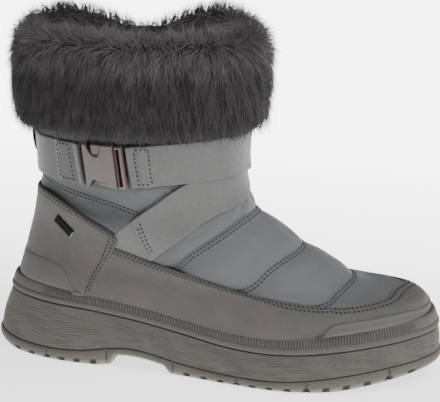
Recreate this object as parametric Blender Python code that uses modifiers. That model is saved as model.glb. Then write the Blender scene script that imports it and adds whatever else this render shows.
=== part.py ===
"""Quilted ankle boot with a fur cuff, right foot, as separate sub-parts.

Axes: +X toward the toe, +Z up, -Y the outer (lateral) side. The origin lies on the
floor under the middle of the heel. Patterns are drawn in millimetres of the base
size and graded to the size that is built. Thicknesses and webbing aren't graded.
"""
import math

import bmesh
import bpy
import numpy as np
from mathutils import Matrix, Vector

# --- driving dimensions -------------------------------------------------------
GRADE = 0.95  # base size to built size
MM = 0.001 * GRADE  # one pattern millimetre, in metres
SOLE_LENGTH = 290.0  # pattern mm, along the edge that carries the rim
HEEL_REST = 42.0  # pattern mm from the back of that edge to the origin

GAP = 0.0003  # metres between pieces that touch
WALL = 0.0024  # metres, quilted shell with its lining
LEATHER = 0.0013  # metres, nubuck overlay
WEBBING = 0.026  # metres, width of both straps
WEBBING_THICK = 0.0016
INSOLE_THICK = 0.0045
RIM_HEIGHT = 10.5  # pattern mm, ribbed and smooth bands together
CUP_THICK = 0.0019  # metres, heel cup and toe bumper over the upper
LUG_DEPTH = 0.0034
COLLAR_Z = 212.0  # pattern mm, top edge of the shell under the fur

AROUND = 56  # points round the sole and the upper

# Half widths of the sole edge at each share of its length.
OUTLINE_COLUMNS = ("station", "outer", "inner")
OUTLINE = (
    (0.00, 0.0, 0.0),
    (0.07, 26.0, 26.0),
    (0.16, 36.0, 35.0),
    (0.28, 39.0, 34.0),
    (0.42, 42.0, 34.0),
    (0.55, 49.0, 41.0),
    (0.67, 53.5, 47.5),
    (0.77, 51.0, 48.5),
    (0.87, 41.5, 43.5),
    (0.95, 26.5, 31.0),
    (0.985, 14.5, 18.0),
    (1.00, 0.0, 0.0),
)

# Heights above the floor along the sole, and how far each edge stands out.
SOLE_COLUMNS = ("station", "tread", "line", "deck", "flare")
SOLE = (
    (0.00, 4.5, 12.0, 39.5, 8.6),
    (0.05, 0.6, 9.4, 39.2, 6.6),
    (0.10, 0.0, 8.4, 38.8, 4.8),
    (0.20, 0.0, 9.4, 37.8, 3.2),
    (0.32, 0.0, 14.2, 34.0, 2.6),
    (0.45, 0.0, 8.6, 28.2, 2.4),
    (0.58, 0.0, 6.2, 23.6, 2.5),
    (0.70, 0.0, 7.2, 23.8, 2.5),
    (0.80, 1.2, 11.0, 26.6, 2.2),
    (0.90, 6.0, 15.2, 30.0, 1.8),
    (1.00, 11.5, 18.4, 33.0, 1.4),
)
ARCH = (82.0, 122.0)  # pattern mm, from the heel breast to the forefoot tread
ARCH_THICK = 5.0  # pattern mm of outsole left over the arch
GROOVE_X = (15.0, 25.5, 36.8, 47.0, 57.5, 69.0, 134.5, 146.5, 158.0, 169.0, 179.5, 190.5,
            202.0, 214.0, 226.0, 238.0, 250.5, 263.0, 276.0)  # grooves across the tread, pattern mm
CHANNEL_Y = 13.0  # the two channels along the tread, either side of the middle
CHANNEL_X = ((14.0, 76.0), (133.0, 246.0))  # from and to, under the heel and the forefoot
GROOVE_WIDE = 0.0034  # metres, grooves and channels
CUTTER_HIGH = 8.0  # pattern mm

# One row for each section of the upper, from the feather edge to the collar.
# A section runs from its back point to its front point and hangs by "dip" between.
# "oval" turns the sole's outline into an oval; "heel" and "toe" set how blunt the
# oval's ends are; "widest" is the share of the section where it is widest.
UPPER_COLUMNS = ("back_x", "back_z", "front_x", "front_z", "dip", "outer", "inner",
                 "oval", "heel", "toe", "widest")
UPPER = (
    (9.0, 39.9, 281.5, 33.4, 11.8, 47.5, 42.0, 0.00, 0.90, 0.95, 0.50),
    (8.5, 50.0, 281.5, 43.0, 11.0, 50.0, 44.5, 0.00, 0.90, 0.95, 0.50),
    (10.5, 59.0, 279.0, 49.0, 7.5, 49.5, 44.0, 0.10, 0.90, 0.95, 0.50),
    (13.5, 70.0, 269.5, 53.4, 3.5, 46.5, 40.5, 0.30, 0.90, 0.95, 0.55),
    (16.5, 81.0, 243.0, 58.2, 1.0, 44.0, 39.0, 0.60, 0.88, 0.97, 0.55),
    (19.5, 91.0, 211.0, 75.3, 0.0, 42.5, 40.0, 0.85, 0.88, 0.98, 0.54),
    (21.5, 100.0, 186.5, 90.5, 0.0, 42.0, 40.5, 1.00, 0.88, 0.96, 0.52),
    (23.2, 108.0, 170.0, 103.5, 0.0, 42.0, 41.0, 1.00, 0.90, 0.94, 0.50),
    (24.2, 118.0, 162.5, 116.5, 0.0, 42.5, 42.0, 1.00, 0.92, 0.92, 0.50),
    (24.0, 130.0, 160.2, 130.0, 0.0, 43.5, 43.5, 1.00, 0.92, 0.92, 0.50),
    (23.5, 143.0, 159.8, 143.0, 0.0, 44.5, 44.5, 1.00, 0.92, 0.92, 0.50),
    (22.5, 162.0, 161.5, 162.0, 0.0, 45.5, 45.5, 1.00, 0.92, 0.92, 0.50),
    (21.5, 186.0, 163.0, 186.0, 0.0, 46.5, 46.5, 1.00, 0.92, 0.92, 0.50),
    (21.0, COLLAR_Z, 164.0, COLLAR_Z, 0.0, 47.0, 47.0, 1.00, 0.92, 0.92, 0.50),
)
TOP_ROW = len(UPPER) - 1.0

# Panel edges in the side view, in pattern mm.
MUDGUARD_TOP = ((60.0, 92.0), (90.0, 84.0), (111.0, 77.0), (143.0, 67.5), (169.0, 61.5),
                (193.0, 57.0), (215.0, 54.4), (231.0, 52.6), (249.0, 52.6), (262.0, 54.0),
                (285.0, 57.5))
HEEL_PANEL_TOP = ((15.0, 114.0), (38.0, 113.0), (55.0, 106.5), (71.0, 98.5), (82.0, 93.0),
                  (92.0, 86.0))
PANEL_JOINT_LOW = 65.5  # x of the heel panel's front edge at the rim
PANEL_JOINT_HIGH = 89.0  # and at its top corner
CUP_TOP = ((0.0, 17.5), (30.0, 18.0), (42.0, 17.0), (49.0, 13.5), (53.0, 6.5), (56.0, 0.8),
           (62.0, 0.8))
BUMPER_TOP = ((224.0, 0.8), (231.0, 3.6), (240.0, 5.8), (252.0, 6.6), (285.0, 5.4),
              (295.0, 5.4))

STRAP_SEAT = 0.0009  # metres from the shell to the instep strap, over its padding
BELT_Z = 138.6  # middle of the buckle
BELT_PATH = ((0.0, 137.5), (0.15, 138.0), (0.25, 138.6), (0.34, 141.4), (0.42, 143.0),
             (0.50, 142.4), (0.60, 140.0), (0.75, 138.6), (1.0, 137.5))  # turn, middle
FOLD_THICK = 0.0012  # metres that the belt's folded ends add
# Lower and upper edge of the instep strap, at shares of its length: by x and z on the
# outer side, then by turn and z where it wraps the shaft and ends under the belt.
STRAP_SIDE_COLUMNS = ("along", "low_x", "low_z", "high_x", "high_z")
STRAP_SIDE = (
    (0.00, 111.5, 76.8, 88.5, 94.0),
    (0.33, 133.0, 94.0, 111.0, 111.6),
    (0.60, 148.0, 104.8, 133.0, 129.0),
)
STRAP_WRAP_COLUMNS = ("along", "low_turn", "low_z", "high_turn", "high_z")
STRAP_WRAP = (
    (0.80, 0.50, 113.5, 0.43, 141.0),
    (1.00, 0.56, 122.0, 0.515, 150.0),
)

# Buckle, in metres but for BUCKLE_X.
BUCKLE_X = (69.0, 97.5)  # pattern mm, what the buckle takes up of the belt
BUCKLE_THICK = 0.0062
BUCKLE_HIGH = 0.0268
BUCKLE_STANDOFF = 0.0009
SOCKET_SHARE = 0.75  # of the buckle's length
WINDOW = (0.0085, 0.0085)  # width and height of the opening over the latch
NOTCH = (0.0085, 0.004)
SOCKET_SLOT = 0.0026
PLUG_SLOT = 0.0018
PLUG_SLOT_PLACE = 0.0026  # its middle, from the plug's end toward the socket
SLOT_END = 0.0036  # plastic left above and below each slot
THROUGH = 0.02  # depth of a cutter that goes right through

# Section of the fur collar: distance out from the shell and height, pattern mm.
CUFF_COLUMNS = ("out", "height")
CUFF = (
    (0.5, 158.0), (6.0, 157.6), (11.5, 163.0), (14.4, 174.0), (15.2, 190.0),
    (14.4, 207.0), (11.0, 219.0), (4.0, 226.0), (-4.5, 226.0), (-9.0, 219.0),
    (-9.5, 206.0), (-7.5, 196.0), (-3.0, 193.0), (-3.0, COLLAR_Z + 0.5),
    (0.5, COLLAR_Z + 0.5), (0.5, 198.0), (0.5, 184.0), (0.5, 169.0),
)

LOOP_TURN = 0.026  # half width of the pull loop, in turns of the shaft
LOOP_Z = (136.5, 146.0, 156.8)  # pattern mm
TAG_CENTRE = (49.3, 92.8)  # pattern mm, x and z
TAG_ALONG = (12.0, -8.9)  # direction of its long side, x and z
TAG_SIZE = (0.0145, 0.0010, 0.0052)


# --- shape functions ----------------------------------------------------------
def smooth(stations, values, at):
    """Cubic through the given rows, with slopes from each row's two neighbours."""
    stations = np.asarray(stations, float)
    values = np.asarray(values, float)
    at = np.asarray(at, float)
    steps = np.diff(stations)
    rates = np.diff(values) / steps
    slopes = np.empty_like(values)
    slopes[0] = rates[0]
    slopes[-1] = rates[-1]
    slopes[1:-1] = (rates[:-1] * steps[1:] + rates[1:] * steps[:-1]) / (steps[1:] + steps[:-1])
    cell = np.clip(np.searchsorted(stations, at) - 1, 0, len(stations) - 2)
    share = np.clip((at - stations[cell]) / steps[cell], 0.0, 1.0)
    square = share * share
    cube = square * share
    return ((2 * cube - 3 * square + 1) * values[cell]
            + (cube - 2 * square + share) * steps[cell] * slopes[cell]
            + (3 * square - 2 * cube) * values[cell + 1]
            + (cube - square) * steps[cell] * slopes[cell + 1])


def column(table, names, name):
    """One named column of a table."""
    return np.array([row[names.index(name)] for row in table])


def share_to_angle(share):
    """Angle round a half oval whose tip-to-tip share is given."""
    return np.arccos(np.clip(1.0 - 2.0 * np.asarray(share, float), -1.0, 1.0))


def half_width(share, side):
    """Half width of the sole edge at a share of its length, in pattern mm."""
    stations = share_to_angle(column(OUTLINE, OUTLINE_COLUMNS, "station"))
    widths = column(OUTLINE, OUTLINE_COLUMNS, side)
    return smooth(stations, widths, share_to_angle(share))


def sole_height(name, x):
    """A height or flare of the sole at x, in pattern mm."""
    stations = column(SOLE, SOLE_COLUMNS, "station") * SOLE_LENGTH
    return smooth(stations, column(SOLE, SOLE_COLUMNS, name), np.clip(x, 0.0, SOLE_LENGTH))


def turns(count):
    """Evenly spaced turns: 0 at the back, 0.25 outside, 0.5 at the toe, 0.75 inside."""
    return np.arange(count) / count


def edge_loop(count, grow):
    """Sole edge moved outward by grow (pattern mm, one value or one a point)."""
    turn = turns(count)
    share = 0.5 - 0.5 * np.cos(2 * math.pi * turn)
    x = share * SOLE_LENGTH
    y = np.where(turn <= 0.5, -half_width(share, "outer"), half_width(share, "inner"))
    dx = np.roll(x, -1) - np.roll(x, 1)
    dy = np.roll(y, -1) - np.roll(y, 1)
    length = np.hypot(dx, dy)
    return x + grow * dy / length, y - grow * dx / length


def world(x, y, z):
    """Pattern millimetres to metres about the origin."""
    return np.stack([(np.asarray(x) - HEEL_REST) * MM, np.asarray(y) * MM, np.asarray(z) * MM], -1)


def section(row, name):
    """A column of the upper's table at a row between 0 and TOP_ROW."""
    rows = np.arange(len(UPPER), dtype=float)
    return smooth(rows, column(UPPER, UPPER_COLUMNS, name), row)


def upper_skin(turn, row):
    """Point on the shell's outer face, in metres, for a turn and a section row."""
    turn = np.asarray(turn, float) % 1.0
    row = np.clip(np.asarray(row, float), 0.0, TOP_ROW)
    share = 0.5 - 0.5 * np.cos(2 * math.pi * turn)
    lateral = turn <= 0.5
    reach = section(row, "front_x") - section(row, "back_x")
    x = section(row, "back_x") + reach * share
    bump = smooth((0.0, 0.2, 0.4, 0.6, 0.8, 1.0), (0.0, 0.05, 0.5, 1.0, 0.62, 0.0), share)
    z = section(row, "back_z") + (section(row, "front_z") - section(row, "back_z")) * share
    z = z - section(row, "dip") * bump
    widest = np.where(lateral, section(row, "outer"), section(row, "inner"))
    outline = np.where(lateral, half_width(share, "outer") / 53.5,
                       half_width(share, "inner") / 48.5)
    angle = share_to_angle(share)
    warp = math.log(0.5) / np.log(share_to_angle(section(row, "widest")) / math.pi)
    blunt = section(row, "heel") + (section(row, "toe") - section(row, "heel")) * share
    oval = np.maximum(np.sin(math.pi * (angle / math.pi) ** warp), 0.0) ** blunt
    mix = section(row, "oval")
    width = widest * ((1.0 - mix) * outline + mix * oval)
    return world(x, np.where(lateral, -width, width), z)


def upper_normal(turn, row):
    """Unit vector out of the shell, from differences of the skin."""
    step = 0.002
    low = np.clip(np.asarray(row, float) - 0.04, 0.0, TOP_ROW)
    high = np.clip(np.asarray(row, float) + 0.04, 0.0, TOP_ROW)
    along = upper_skin(turn + step, row) - upper_skin(turn - step, row)
    up = upper_skin(turn, high) - upper_skin(turn, low)
    normal = np.cross(along, up)
    return normal / np.linalg.norm(normal, axis=-1, keepdims=True)


def upper_point(turn, row, out):
    """Point a distance out (metres) from the shell's outer face."""
    out = np.asarray(out, float)
    return upper_skin(turn, row) + upper_normal(turn, row) * out[..., None]


def row_at(turn, height):
    """Row where the skin crosses the curve z = height(x), both in pattern mm."""
    fine = np.linspace(0.0, TOP_ROW, 261)
    found = []
    for one in np.atleast_1d(turn):
        points = upper_skin(np.full(fine.shape, one), fine)
        above = points[:, 2] / MM - height(points[:, 0] / MM + HEEL_REST)
        first = int(np.argmax(above > 0.0))
        first = max(first, 1)
        low, high = above[first - 1], above[first]
        share = np.clip(-low / (high - low), 0.0, 1.0)
        found.append(fine[first - 1] + share * (fine[first] - fine[first - 1]))
    return np.array(found)


def rows_at_heights(turn, height):
    """Row of each turn where the skin has its own height, in pattern mm."""
    return np.array([row_at(one, lambda x, z=level: np.full(np.shape(x), z))[0]
                     for one, level in zip(turn, height)])


def belt_middle(turn):
    """Height of the belt's middle, a little higher in front."""
    return smooth([p[0] for p in BELT_PATH], [p[1] for p in BELT_PATH], turn)


def turn_at(x, row):
    """Turn on the outer side where the skin of a row has this x (pattern mm)."""
    back = section(row, "back_x")
    share = (x - back) / (section(row, "front_x") - back)
    return share_to_angle(share) / (2 * math.pi)


def curve_of(points):
    """Height as a smooth function of x through a short list of points."""
    xs = [point[0] for point in points]
    zs = [point[1] for point in points]
    return lambda x: smooth(xs, zs, np.clip(x, xs[0], xs[-1]))


def rim_top(x):
    """Height of the rim's upper edge, with the heel cup and the toe bumper."""
    rise = np.where(x < 140.0, curve_of(CUP_TOP)(x), curve_of(BUMPER_TOP)(x))
    return sole_height("deck", x) + RIM_HEIGHT + rise


# --- mesh helpers -------------------------------------------------------------
def material(name, colour, roughness):
    """Plain Principled material of a part."""
    made = bpy.data.materials.new(name)
    made.use_nodes = True
    shader = made.node_tree.nodes["Principled BSDF"]
    shader.inputs["Base Color"].default_value = (*colour, 1.0)
    shader.inputs["Roughness"].default_value = roughness
    return made


def add_mesh(name, points, faces, finish, collection):
    """New object from arrays, with its faces turned outward."""
    mesh = bpy.data.meshes.new(name)
    mesh.from_pydata([tuple(point) for point in points], [], faces)
    shape = bmesh.new()
    shape.from_mesh(mesh)
    bmesh.ops.recalc_face_normals(shape, faces=shape.faces)
    shape.to_mesh(mesh)
    shape.free()
    mesh.shade_smooth()
    mesh.set_sharp_from_angle(angle=math.radians(35.0))
    mesh.materials.append(finish)
    thing = bpy.data.objects.new(name, mesh)
    collection.objects.link(thing)
    return thing


def ring_faces(rings, count, closed):
    """Quads between loops of count points; closed joins the last loop to the first."""
    faces = []
    last = rings if closed else rings - 1
    for ring in range(last):
        here = ring * count
        there = ((ring + 1) % rings) * count
        for i in range(count):
            j = (i + 1) % count
            faces.append((here + i, here + j, there + j, there + i))
    return faces


def ladder_cap(start, count):
    """Cap of a loop from strips that join its two sides."""
    faces = [(start, start + 1, start + count - 1)]
    for i in range(1, count // 2 - 1):
        faces.append((start + i, start + i + 1, start + count - i - 1, start + count - i))
    half = count // 2
    faces.append((start + half - 1, start + half, start + half + 1))
    return faces


def slab(name, loops, finish, collection):
    """Closed body of stacked loops with a cap at each end."""
    count = len(loops[0])
    faces = ring_faces(len(loops), count, False)
    faces += ladder_cap(0, count)
    faces += ladder_cap((len(loops) - 1) * count, count)
    return add_mesh(name, np.concatenate(loops), faces, finish, collection)


def band(name, loops, finish, collection):
    """Closed ring whose section is the list of loops, in order round it."""
    faces = ring_faces(len(loops), len(loops[0]), True)
    return add_mesh(name, np.concatenate(loops), faces, finish, collection)


def sheet(name, inner, outer, finish, collection):
    """Closed body between two grids of the same shape, joined round their border."""
    rows, columns = inner.shape[:2]
    size = rows * columns
    faces = []
    for i in range(rows - 1):
        for j in range(columns - 1):
            a = i * columns + j
            quad = (a, a + 1, a + columns + 1, a + columns)
            faces.append(quad)
            faces.append(tuple(size + k for k in reversed(quad)))
    border = [j for j in range(columns)]
    border += [i * columns + columns - 1 for i in range(1, rows)]
    border += [(rows - 1) * columns + j for j in range(columns - 2, -1, -1)]
    border += [i * columns for i in range(rows - 2, 0, -1)]
    for k, a in enumerate(border):
        b = border[(k + 1) % len(border)]
        faces.append((a, b, b + size, a + size))
    points = np.concatenate([inner.reshape(-1, 3), outer.reshape(-1, 3)])
    return add_mesh(name, points, faces, finish, collection)


def cut(thing, cutter):
    """Cut one object with a hidden cutter."""
    cutter.hide_render = True
    cutter.display_type = "WIRE"
    change = thing.modifiers.new(cutter.name, "BOOLEAN")
    change.operation = "DIFFERENCE"
    change.solver = "EXACT"
    change.object = cutter


def block(name, size, frame, collection):
    """Box of a size, centred in a frame given as a matrix."""
    mesh = bpy.data.meshes.new(name)
    shape = bmesh.new()
    bmesh.ops.create_cube(shape, size=1.0)
    bmesh.ops.scale(shape, vec=size, verts=shape.verts)
    bmesh.ops.transform(shape, matrix=frame, verts=shape.verts)
    shape.to_mesh(mesh)
    shape.free()
    thing = bpy.data.objects.new(name, mesh)
    collection.objects.link(thing)
    return thing


def round_edges(thing, width, segments):
    """Bevel on every sharp edge."""
    change = thing.modifiers.new("edges", "BEVEL")
    change.width = width
    change.segments = segments
    change.limit_method = "ANGLE"
    change.angle_limit = math.radians(40.0)


# --- parts --------------------------------------------------------------------
def make_outsole(parts, cutters, finish):
    """Outsole with an open arch and grooves between its main lugs."""
    x, _ = edge_loop(AROUND, 0.0)
    line = sole_height("line", x)
    tread = np.maximum(sole_height("tread", x), 0.0)
    in_arch = (x > ARCH[0]) & (x < ARCH[1])
    tread = np.where(in_arch, line - ARCH_THICK, tread)
    flare = sole_height("flare", x)
    top = edge_loop(AROUND, flare)
    bulge = edge_loop(AROUND, flare + 1.2)
    foot = edge_loop(AROUND, flare - 1.2)
    low = tread + 0.35 * (line - tread)
    loops = [
        world(*foot, tread),
        world(*bulge, low),
        world(*top, line - GAP / MM),
    ]
    outsole = slab("outsole", loops, finish, parts)
    sunk = LUG_DEPTH / MM - CUTTER_HIGH / 2
    for number, spot in enumerate(GROOVE_X):
        behind, floor, ahead = sole_height("tread", np.array([spot - 4.0, spot, spot + 4.0]))
        tilt = math.atan((ahead - behind) / 8.0)
        middle = Vector(world(spot, 0.0, floor + sunk))
        frame = Matrix.Translation(middle) @ Matrix.Rotation(-tilt, 4, "Y")
        size = (GROOVE_WIDE, 0.140, CUTTER_HIGH * MM)
        cut(outsole, block(f"groove_{number:02d}", size, frame, cutters))
    for side in (-1, 1):
        for number, (start, end) in enumerate(CHANNEL_X):
            middle = Vector(world((start + end) / 2, side * CHANNEL_Y, sunk))
            size = ((end - start) * MM, GROOVE_WIDE, CUTTER_HIGH * MM)
            name = f"channel_{number}_{'inner' if side > 0 else 'outer'}"
            cut(outsole, block(name, size, Matrix.Translation(middle), cutters))
    return outsole


def make_midsole(parts, finish):
    """Wedge between the outsole's line and the deck."""
    x, _ = edge_loop(AROUND, 0.0)
    line = sole_height("line", x)
    deck = sole_height("deck", x)
    flare = sole_height("flare", x)
    loops = [
        world(*edge_loop(AROUND, flare), line),
        world(*edge_loop(AROUND, flare * 0.62), line + 0.45 * (deck - line)),
        world(*edge_loop(AROUND, 0.0), deck),
    ]
    return slab("midsole", loops, finish, parts)


def make_rim(parts, finish):
    """Foxing band on the deck, with the heel cup and the toe bumper moulded on."""
    turn = turns(AROUND)
    x, _ = edge_loop(AROUND, 0.0)
    deck = sole_height("deck", x)
    base = edge_loop(AROUND, 0.0)
    edge = edge_loop(AROUND, -3.4)
    row_top = row_at(turn, rim_top)
    row_shelf = row_at(turn, lambda at: sole_height("deck", at) + RIM_HEIGHT)
    row_foot = row_at(turn, lambda at: sole_height("deck", at) + 1.0)
    shelf = upper_point(turn, row_shelf, np.full(turn.shape, CUP_THICK + 0.0004))
    loops = [
        world(*base, deck + GAP / MM),
        world(*edge, deck + RIM_HEIGHT - 0.8),
        shelf,
        upper_point(turn, row_top, np.full(turn.shape, CUP_THICK)),
    ]
    for share in (1.0, 0.75, 0.5, 0.25, 0.0):
        row = row_foot + share * (row_top - row_foot)
        loops.append(upper_point(turn, row, np.full(turn.shape, 1.5 * GAP)))
    inner_foot = loops[-1].copy()
    inner_foot[:, 2] = (deck * MM) + GAP
    loops.append(inner_foot)
    return band("sole_rim", loops, finish, parts)


def make_upper(parts, finish):
    """Hollow lasted shell, open at the collar and underneath."""
    rows = np.concatenate([[0.0, 0.5], np.linspace(1.0, 9.0, 13), np.arange(10.0, TOP_ROW + 0.5)])
    turn = turns(AROUND)
    outer = [upper_point(turn, np.full(turn.shape, row), np.zeros(turn.shape)) for row in rows]
    inner = [upper_point(turn, np.full(turn.shape, row), np.full(turn.shape, -WALL))
             for row in rows[::-1]]
    for ring in (outer[0], inner[-1]):
        x = ring[:, 0] / MM + HEEL_REST
        ring[:, 2] = sole_height("deck", x) * MM + GAP
    return band("upper", outer + inner, finish, parts)


def make_insole(parts, finish):
    """Footbed on the deck, inside the shell."""
    turn = turns(AROUND)
    inside = np.full(turn.shape, -WALL - 3 * GAP)
    loops = []
    for height in (GAP, INSOLE_THICK):
        row = row_at(turn, lambda x: sole_height("deck", x) + height / MM)
        ring = upper_point(turn, row, inside)
        ring[:, 2] = sole_height("deck", ring[:, 0] / MM + HEEL_REST) * MM + height
        loops.append(ring)
    return slab("insole", loops, finish, parts)


def joint_x(height_share):
    """Front edge of the heel panel, leaning forward from the rim to its corner."""
    return PANEL_JOINT_LOW + (PANEL_JOINT_HIGH - PANEL_JOINT_LOW) * height_share


def above_rim(x):
    """Lower edge of the panels: clear of the rim, also where the rim steps down."""
    near = [rim_top(x + shift) for shift in (-4.0, -2.0, 0.0, 2.0, 4.0)]
    return np.max(near, axis=0) + 0.6


def panel_grid(turn_low, turn_high, top, steps, levels, out):
    """Grid over the shell between the rim's top and a panel's top edge."""
    share = np.linspace(0.0, 1.0, steps)
    grid = []
    for level in np.linspace(0.0, 1.0, levels):
        turn = turn_low(level) + (turn_high(level) - turn_low(level)) * share
        low = row_at(turn % 1.0, above_rim)
        high = row_at(turn % 1.0, top)
        grid.append(upper_point(turn, low + (high - low) * level, np.full(turn.shape, out)))
    return np.array(grid)


def joint_turn(level, shift, top):
    """Turn of the panels' joint on the outer side, at a share of the panel's height."""
    x = joint_x(level) + shift
    row = 3.0
    for _ in range(8):
        turn = turn_at(x, np.array(row))
        low = row_at(turn, above_rim)[0]
        row = low + (row_at(turn, top)[0] - low) * level
    return float(turn_at(x, np.array(row)))


def make_mudguard(parts, finish):
    """Nubuck overlay round the forefoot and toe."""
    top = curve_of(MUDGUARD_TOP)

    def start(level):
        return joint_turn(level, 0.6, top)

    def end(level):
        return 1.0 - joint_turn(level, 0.6, top)

    inner = panel_grid(start, end, top, 41, 6, 1.5 * GAP)
    outer = panel_grid(start, end, top, 41, 6, 1.5 * GAP + LEATHER)
    return sheet("mudguard", inner, outer, finish, parts)


def make_heel_panel(parts, finish):
    """Nubuck overlay round the heel, between the mudguard's ends."""
    top = curve_of(HEEL_PANEL_TOP)

    def start(level):
        return -joint_turn(level, 0.0, top)

    def end(level):
        return joint_turn(level, 0.0, top)

    inner = panel_grid(start, end, top, 27, 7, 1.7 * GAP)
    outer = panel_grid(start, end, top, 27, 7, 1.7 * GAP + LEATHER + 0.0003)
    return sheet("heel_panel", inner, outer, finish, parts)


def make_cuff(parts, finish):
    """Fur collar hooked over the shell's top edge."""
    turn = turns(AROUND)
    loops = []
    for out, height in CUFF:
        level = min(height, COLLAR_Z) - 0.01
        row = rows_at_heights(turn, np.full(turn.shape, level))
        flat = upper_normal(turn, row)
        flat[:, 2] = 0.0
        flat /= np.linalg.norm(flat, axis=-1, keepdims=True)
        ring = upper_skin(turn, row) + flat * out * MM
        ring[:, 2] = height * MM
        loops.append(ring)
    return band("fur_cuff", loops, finish, parts)


def belt_lift(turn):
    """How far the belt stands off to pass over the instep strap."""
    span = np.clip((turn - 0.25) / 0.04, 0.0, 1.0) * np.clip((0.66 - turn) / 0.06, 0.0, 1.0)
    return (WEBBING_THICK + STRAP_SEAT) * span


def make_belt(parts, finish):
    """Webbing round the ankle, from one side of the buckle to the other."""
    middle = np.array(9.7)
    start = float(turn_at(BUCKLE_X[1] + 0.5, middle))
    end = 1.0 + float(turn_at(BUCKLE_X[0] - 1.2, middle))
    turn = np.concatenate([[start, start + 0.012, start + 0.02],
                           np.linspace(start + 0.03, end - 0.03, 40),
                           [end - 0.02, end - 0.012, end]])
    half = WEBBING / 2 / MM
    fold = np.where((turn < start + 0.013) | (turn > end - 0.013), FOLD_THICK, 0.0)
    grids = []
    for out in (GAP, GAP + WEBBING_THICK):
        grid = []
        for side in (-half, 0.0, half):
            row = rows_at_heights(turn % 1.0, belt_middle(turn % 1.0) + side)
            away = out + belt_lift(turn) + (fold if out > GAP else 0.0)
            grid.append(upper_point(turn, row, away))
        grids.append(np.array(grid))
    return sheet("ankle_strap", grids[0], grids[1], finish, parts)


def row_at_point(x, z):
    """Row whose skin passes through a point of the side view."""
    row = 6.0
    for _ in range(12):
        turn = turn_at(x, np.array(row))
        row = float(rows_at_heights([turn], [z])[0])
    return row


def strap_edge(which):
    """The instep strap's "low" or "high" edge, as turns and heights."""
    side_x = column(STRAP_SIDE, STRAP_SIDE_COLUMNS, f"{which}_x")
    side_z = column(STRAP_SIDE, STRAP_SIDE_COLUMNS, f"{which}_z")
    side_turn = [float(turn_at(x, np.array(row_at_point(x, z)))) for x, z in zip(side_x, side_z)]
    wrap_turn = column(STRAP_WRAP, STRAP_WRAP_COLUMNS, f"{which}_turn")
    wrap_z = column(STRAP_WRAP, STRAP_WRAP_COLUMNS, f"{which}_z")
    along = np.concatenate([column(STRAP_SIDE, STRAP_SIDE_COLUMNS, "along"),
                            column(STRAP_WRAP, STRAP_WRAP_COLUMNS, "along")])
    at = np.linspace(0.0, 1.0, 24)
    turn = smooth(along, np.concatenate([side_turn, wrap_turn]), at)
    return turn, smooth(along, np.concatenate([side_z, wrap_z]), at)


def make_instep_strap(parts, finish):
    """Webbing from the outer heel up over the instep, under the belt."""
    low_turn, low_z = strap_edge("low")
    high_turn, high_z = strap_edge("high")
    grids = []
    for out in (STRAP_SEAT, STRAP_SEAT + WEBBING_THICK):
        grid = []
        for share in np.linspace(0.0, 1.0, 7):
            turn = low_turn + (high_turn - low_turn) * share
            row = rows_at_heights(turn, low_z + (high_z - low_z) * share)
            grid.append(upper_point(turn, row, np.full(turn.shape, out)))
        grids.append(np.array(grid))
    return sheet("instep_strap", grids[0], grids[1], finish, parts)


def buckle_frame(x, out):
    """Frame on the belt line: X along the belt, Y into the boot, Z up."""
    row = np.array(9.7)
    turn = turn_at(x, row)
    here = upper_point(turn, row, np.array(out))
    along = upper_skin(turn + 0.004, row) - upper_skin(turn - 0.004, row)
    along[2] = 0.0
    along /= np.linalg.norm(along)
    axis_x = Vector(along)
    axis_z = Vector((0.0, 0.0, 1.0))
    axis_y = axis_z.cross(axis_x)
    frame = Matrix((axis_x, axis_y, axis_z)).transposed().to_4x4()
    frame.translation = Vector((here[0], here[1], BELT_Z * MM))
    return frame


def make_buckle(parts, cutters, finish):
    """Side-release buckle: socket toward the heel, plug and slider toward the toe."""
    frame = buckle_frame(sum(BUCKLE_X) / 2, GAP + BUCKLE_STANDOFF + BUCKLE_THICK / 2)
    span = (BUCKLE_X[1] - BUCKLE_X[0]) * MM
    socket_long = SOCKET_SHARE * span
    plug_long = span - socket_long - GAP

    socket_frame = frame @ Matrix.Translation(((socket_long - span) / 2, 0.0, 0.0))
    socket = block("buckle_socket", (socket_long, BUCKLE_THICK, BUCKLE_HIGH), socket_frame, parts)
    socket.data.materials.append(finish)
    openings = (
        ("window", WINDOW, (0.001, 0.0, BUCKLE_HIGH / 2 - 0.0025)),
        ("notch", NOTCH, (0.001, 0.0, -BUCKLE_HIGH / 2)),
        ("slot", (SOCKET_SLOT, BUCKLE_HIGH - 2 * SLOT_END), (0.0038 - socket_long / 2, 0.0, 0.0)),
    )
    for name, (wide, high), place in openings:
        where = socket_frame @ Matrix.Translation(place)
        cut(socket, block(f"socket_{name}", (wide, THROUGH, high), where, cutters))
    round_edges(socket, 0.0008, 2)

    plug_frame = frame @ Matrix.Translation(((span - plug_long) / 2, 0.0, 0.0))
    plug_size = (plug_long, BUCKLE_THICK - 0.0008, BUCKLE_HIGH - 0.0006)
    plug = block("buckle_plug", plug_size, plug_frame, parts)
    plug.data.materials.append(finish)
    slot_size = (PLUG_SLOT, THROUGH, BUCKLE_HIGH - 2 * SLOT_END)
    where = plug_frame @ Matrix.Translation((PLUG_SLOT_PLACE - plug_long / 2, 0.0, 0.0))
    cut(plug, block("plug_slot", slot_size, where, cutters))
    round_edges(plug, 0.0007, 2)


def make_pull_loop(parts, finish):
    """Black webbing loop at the back, over the belt and under the fur."""
    turn = np.linspace(-LOOP_TURN, LOOP_TURN, 7)
    grids = []
    for out in (2 * GAP + WEBBING_THICK, 3.0 * GAP + 1.6 * WEBBING_THICK):
        grid = []
        for height in LOOP_Z:
            row = rows_at_heights(turn % 1.0, np.full(turn.shape, height))
            grid.append(upper_point(turn, row, np.full(turn.shape, out)))
        grids.append(np.array(grid))
    return sheet("pull_loop", grids[0], grids[1], finish, parts)


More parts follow.
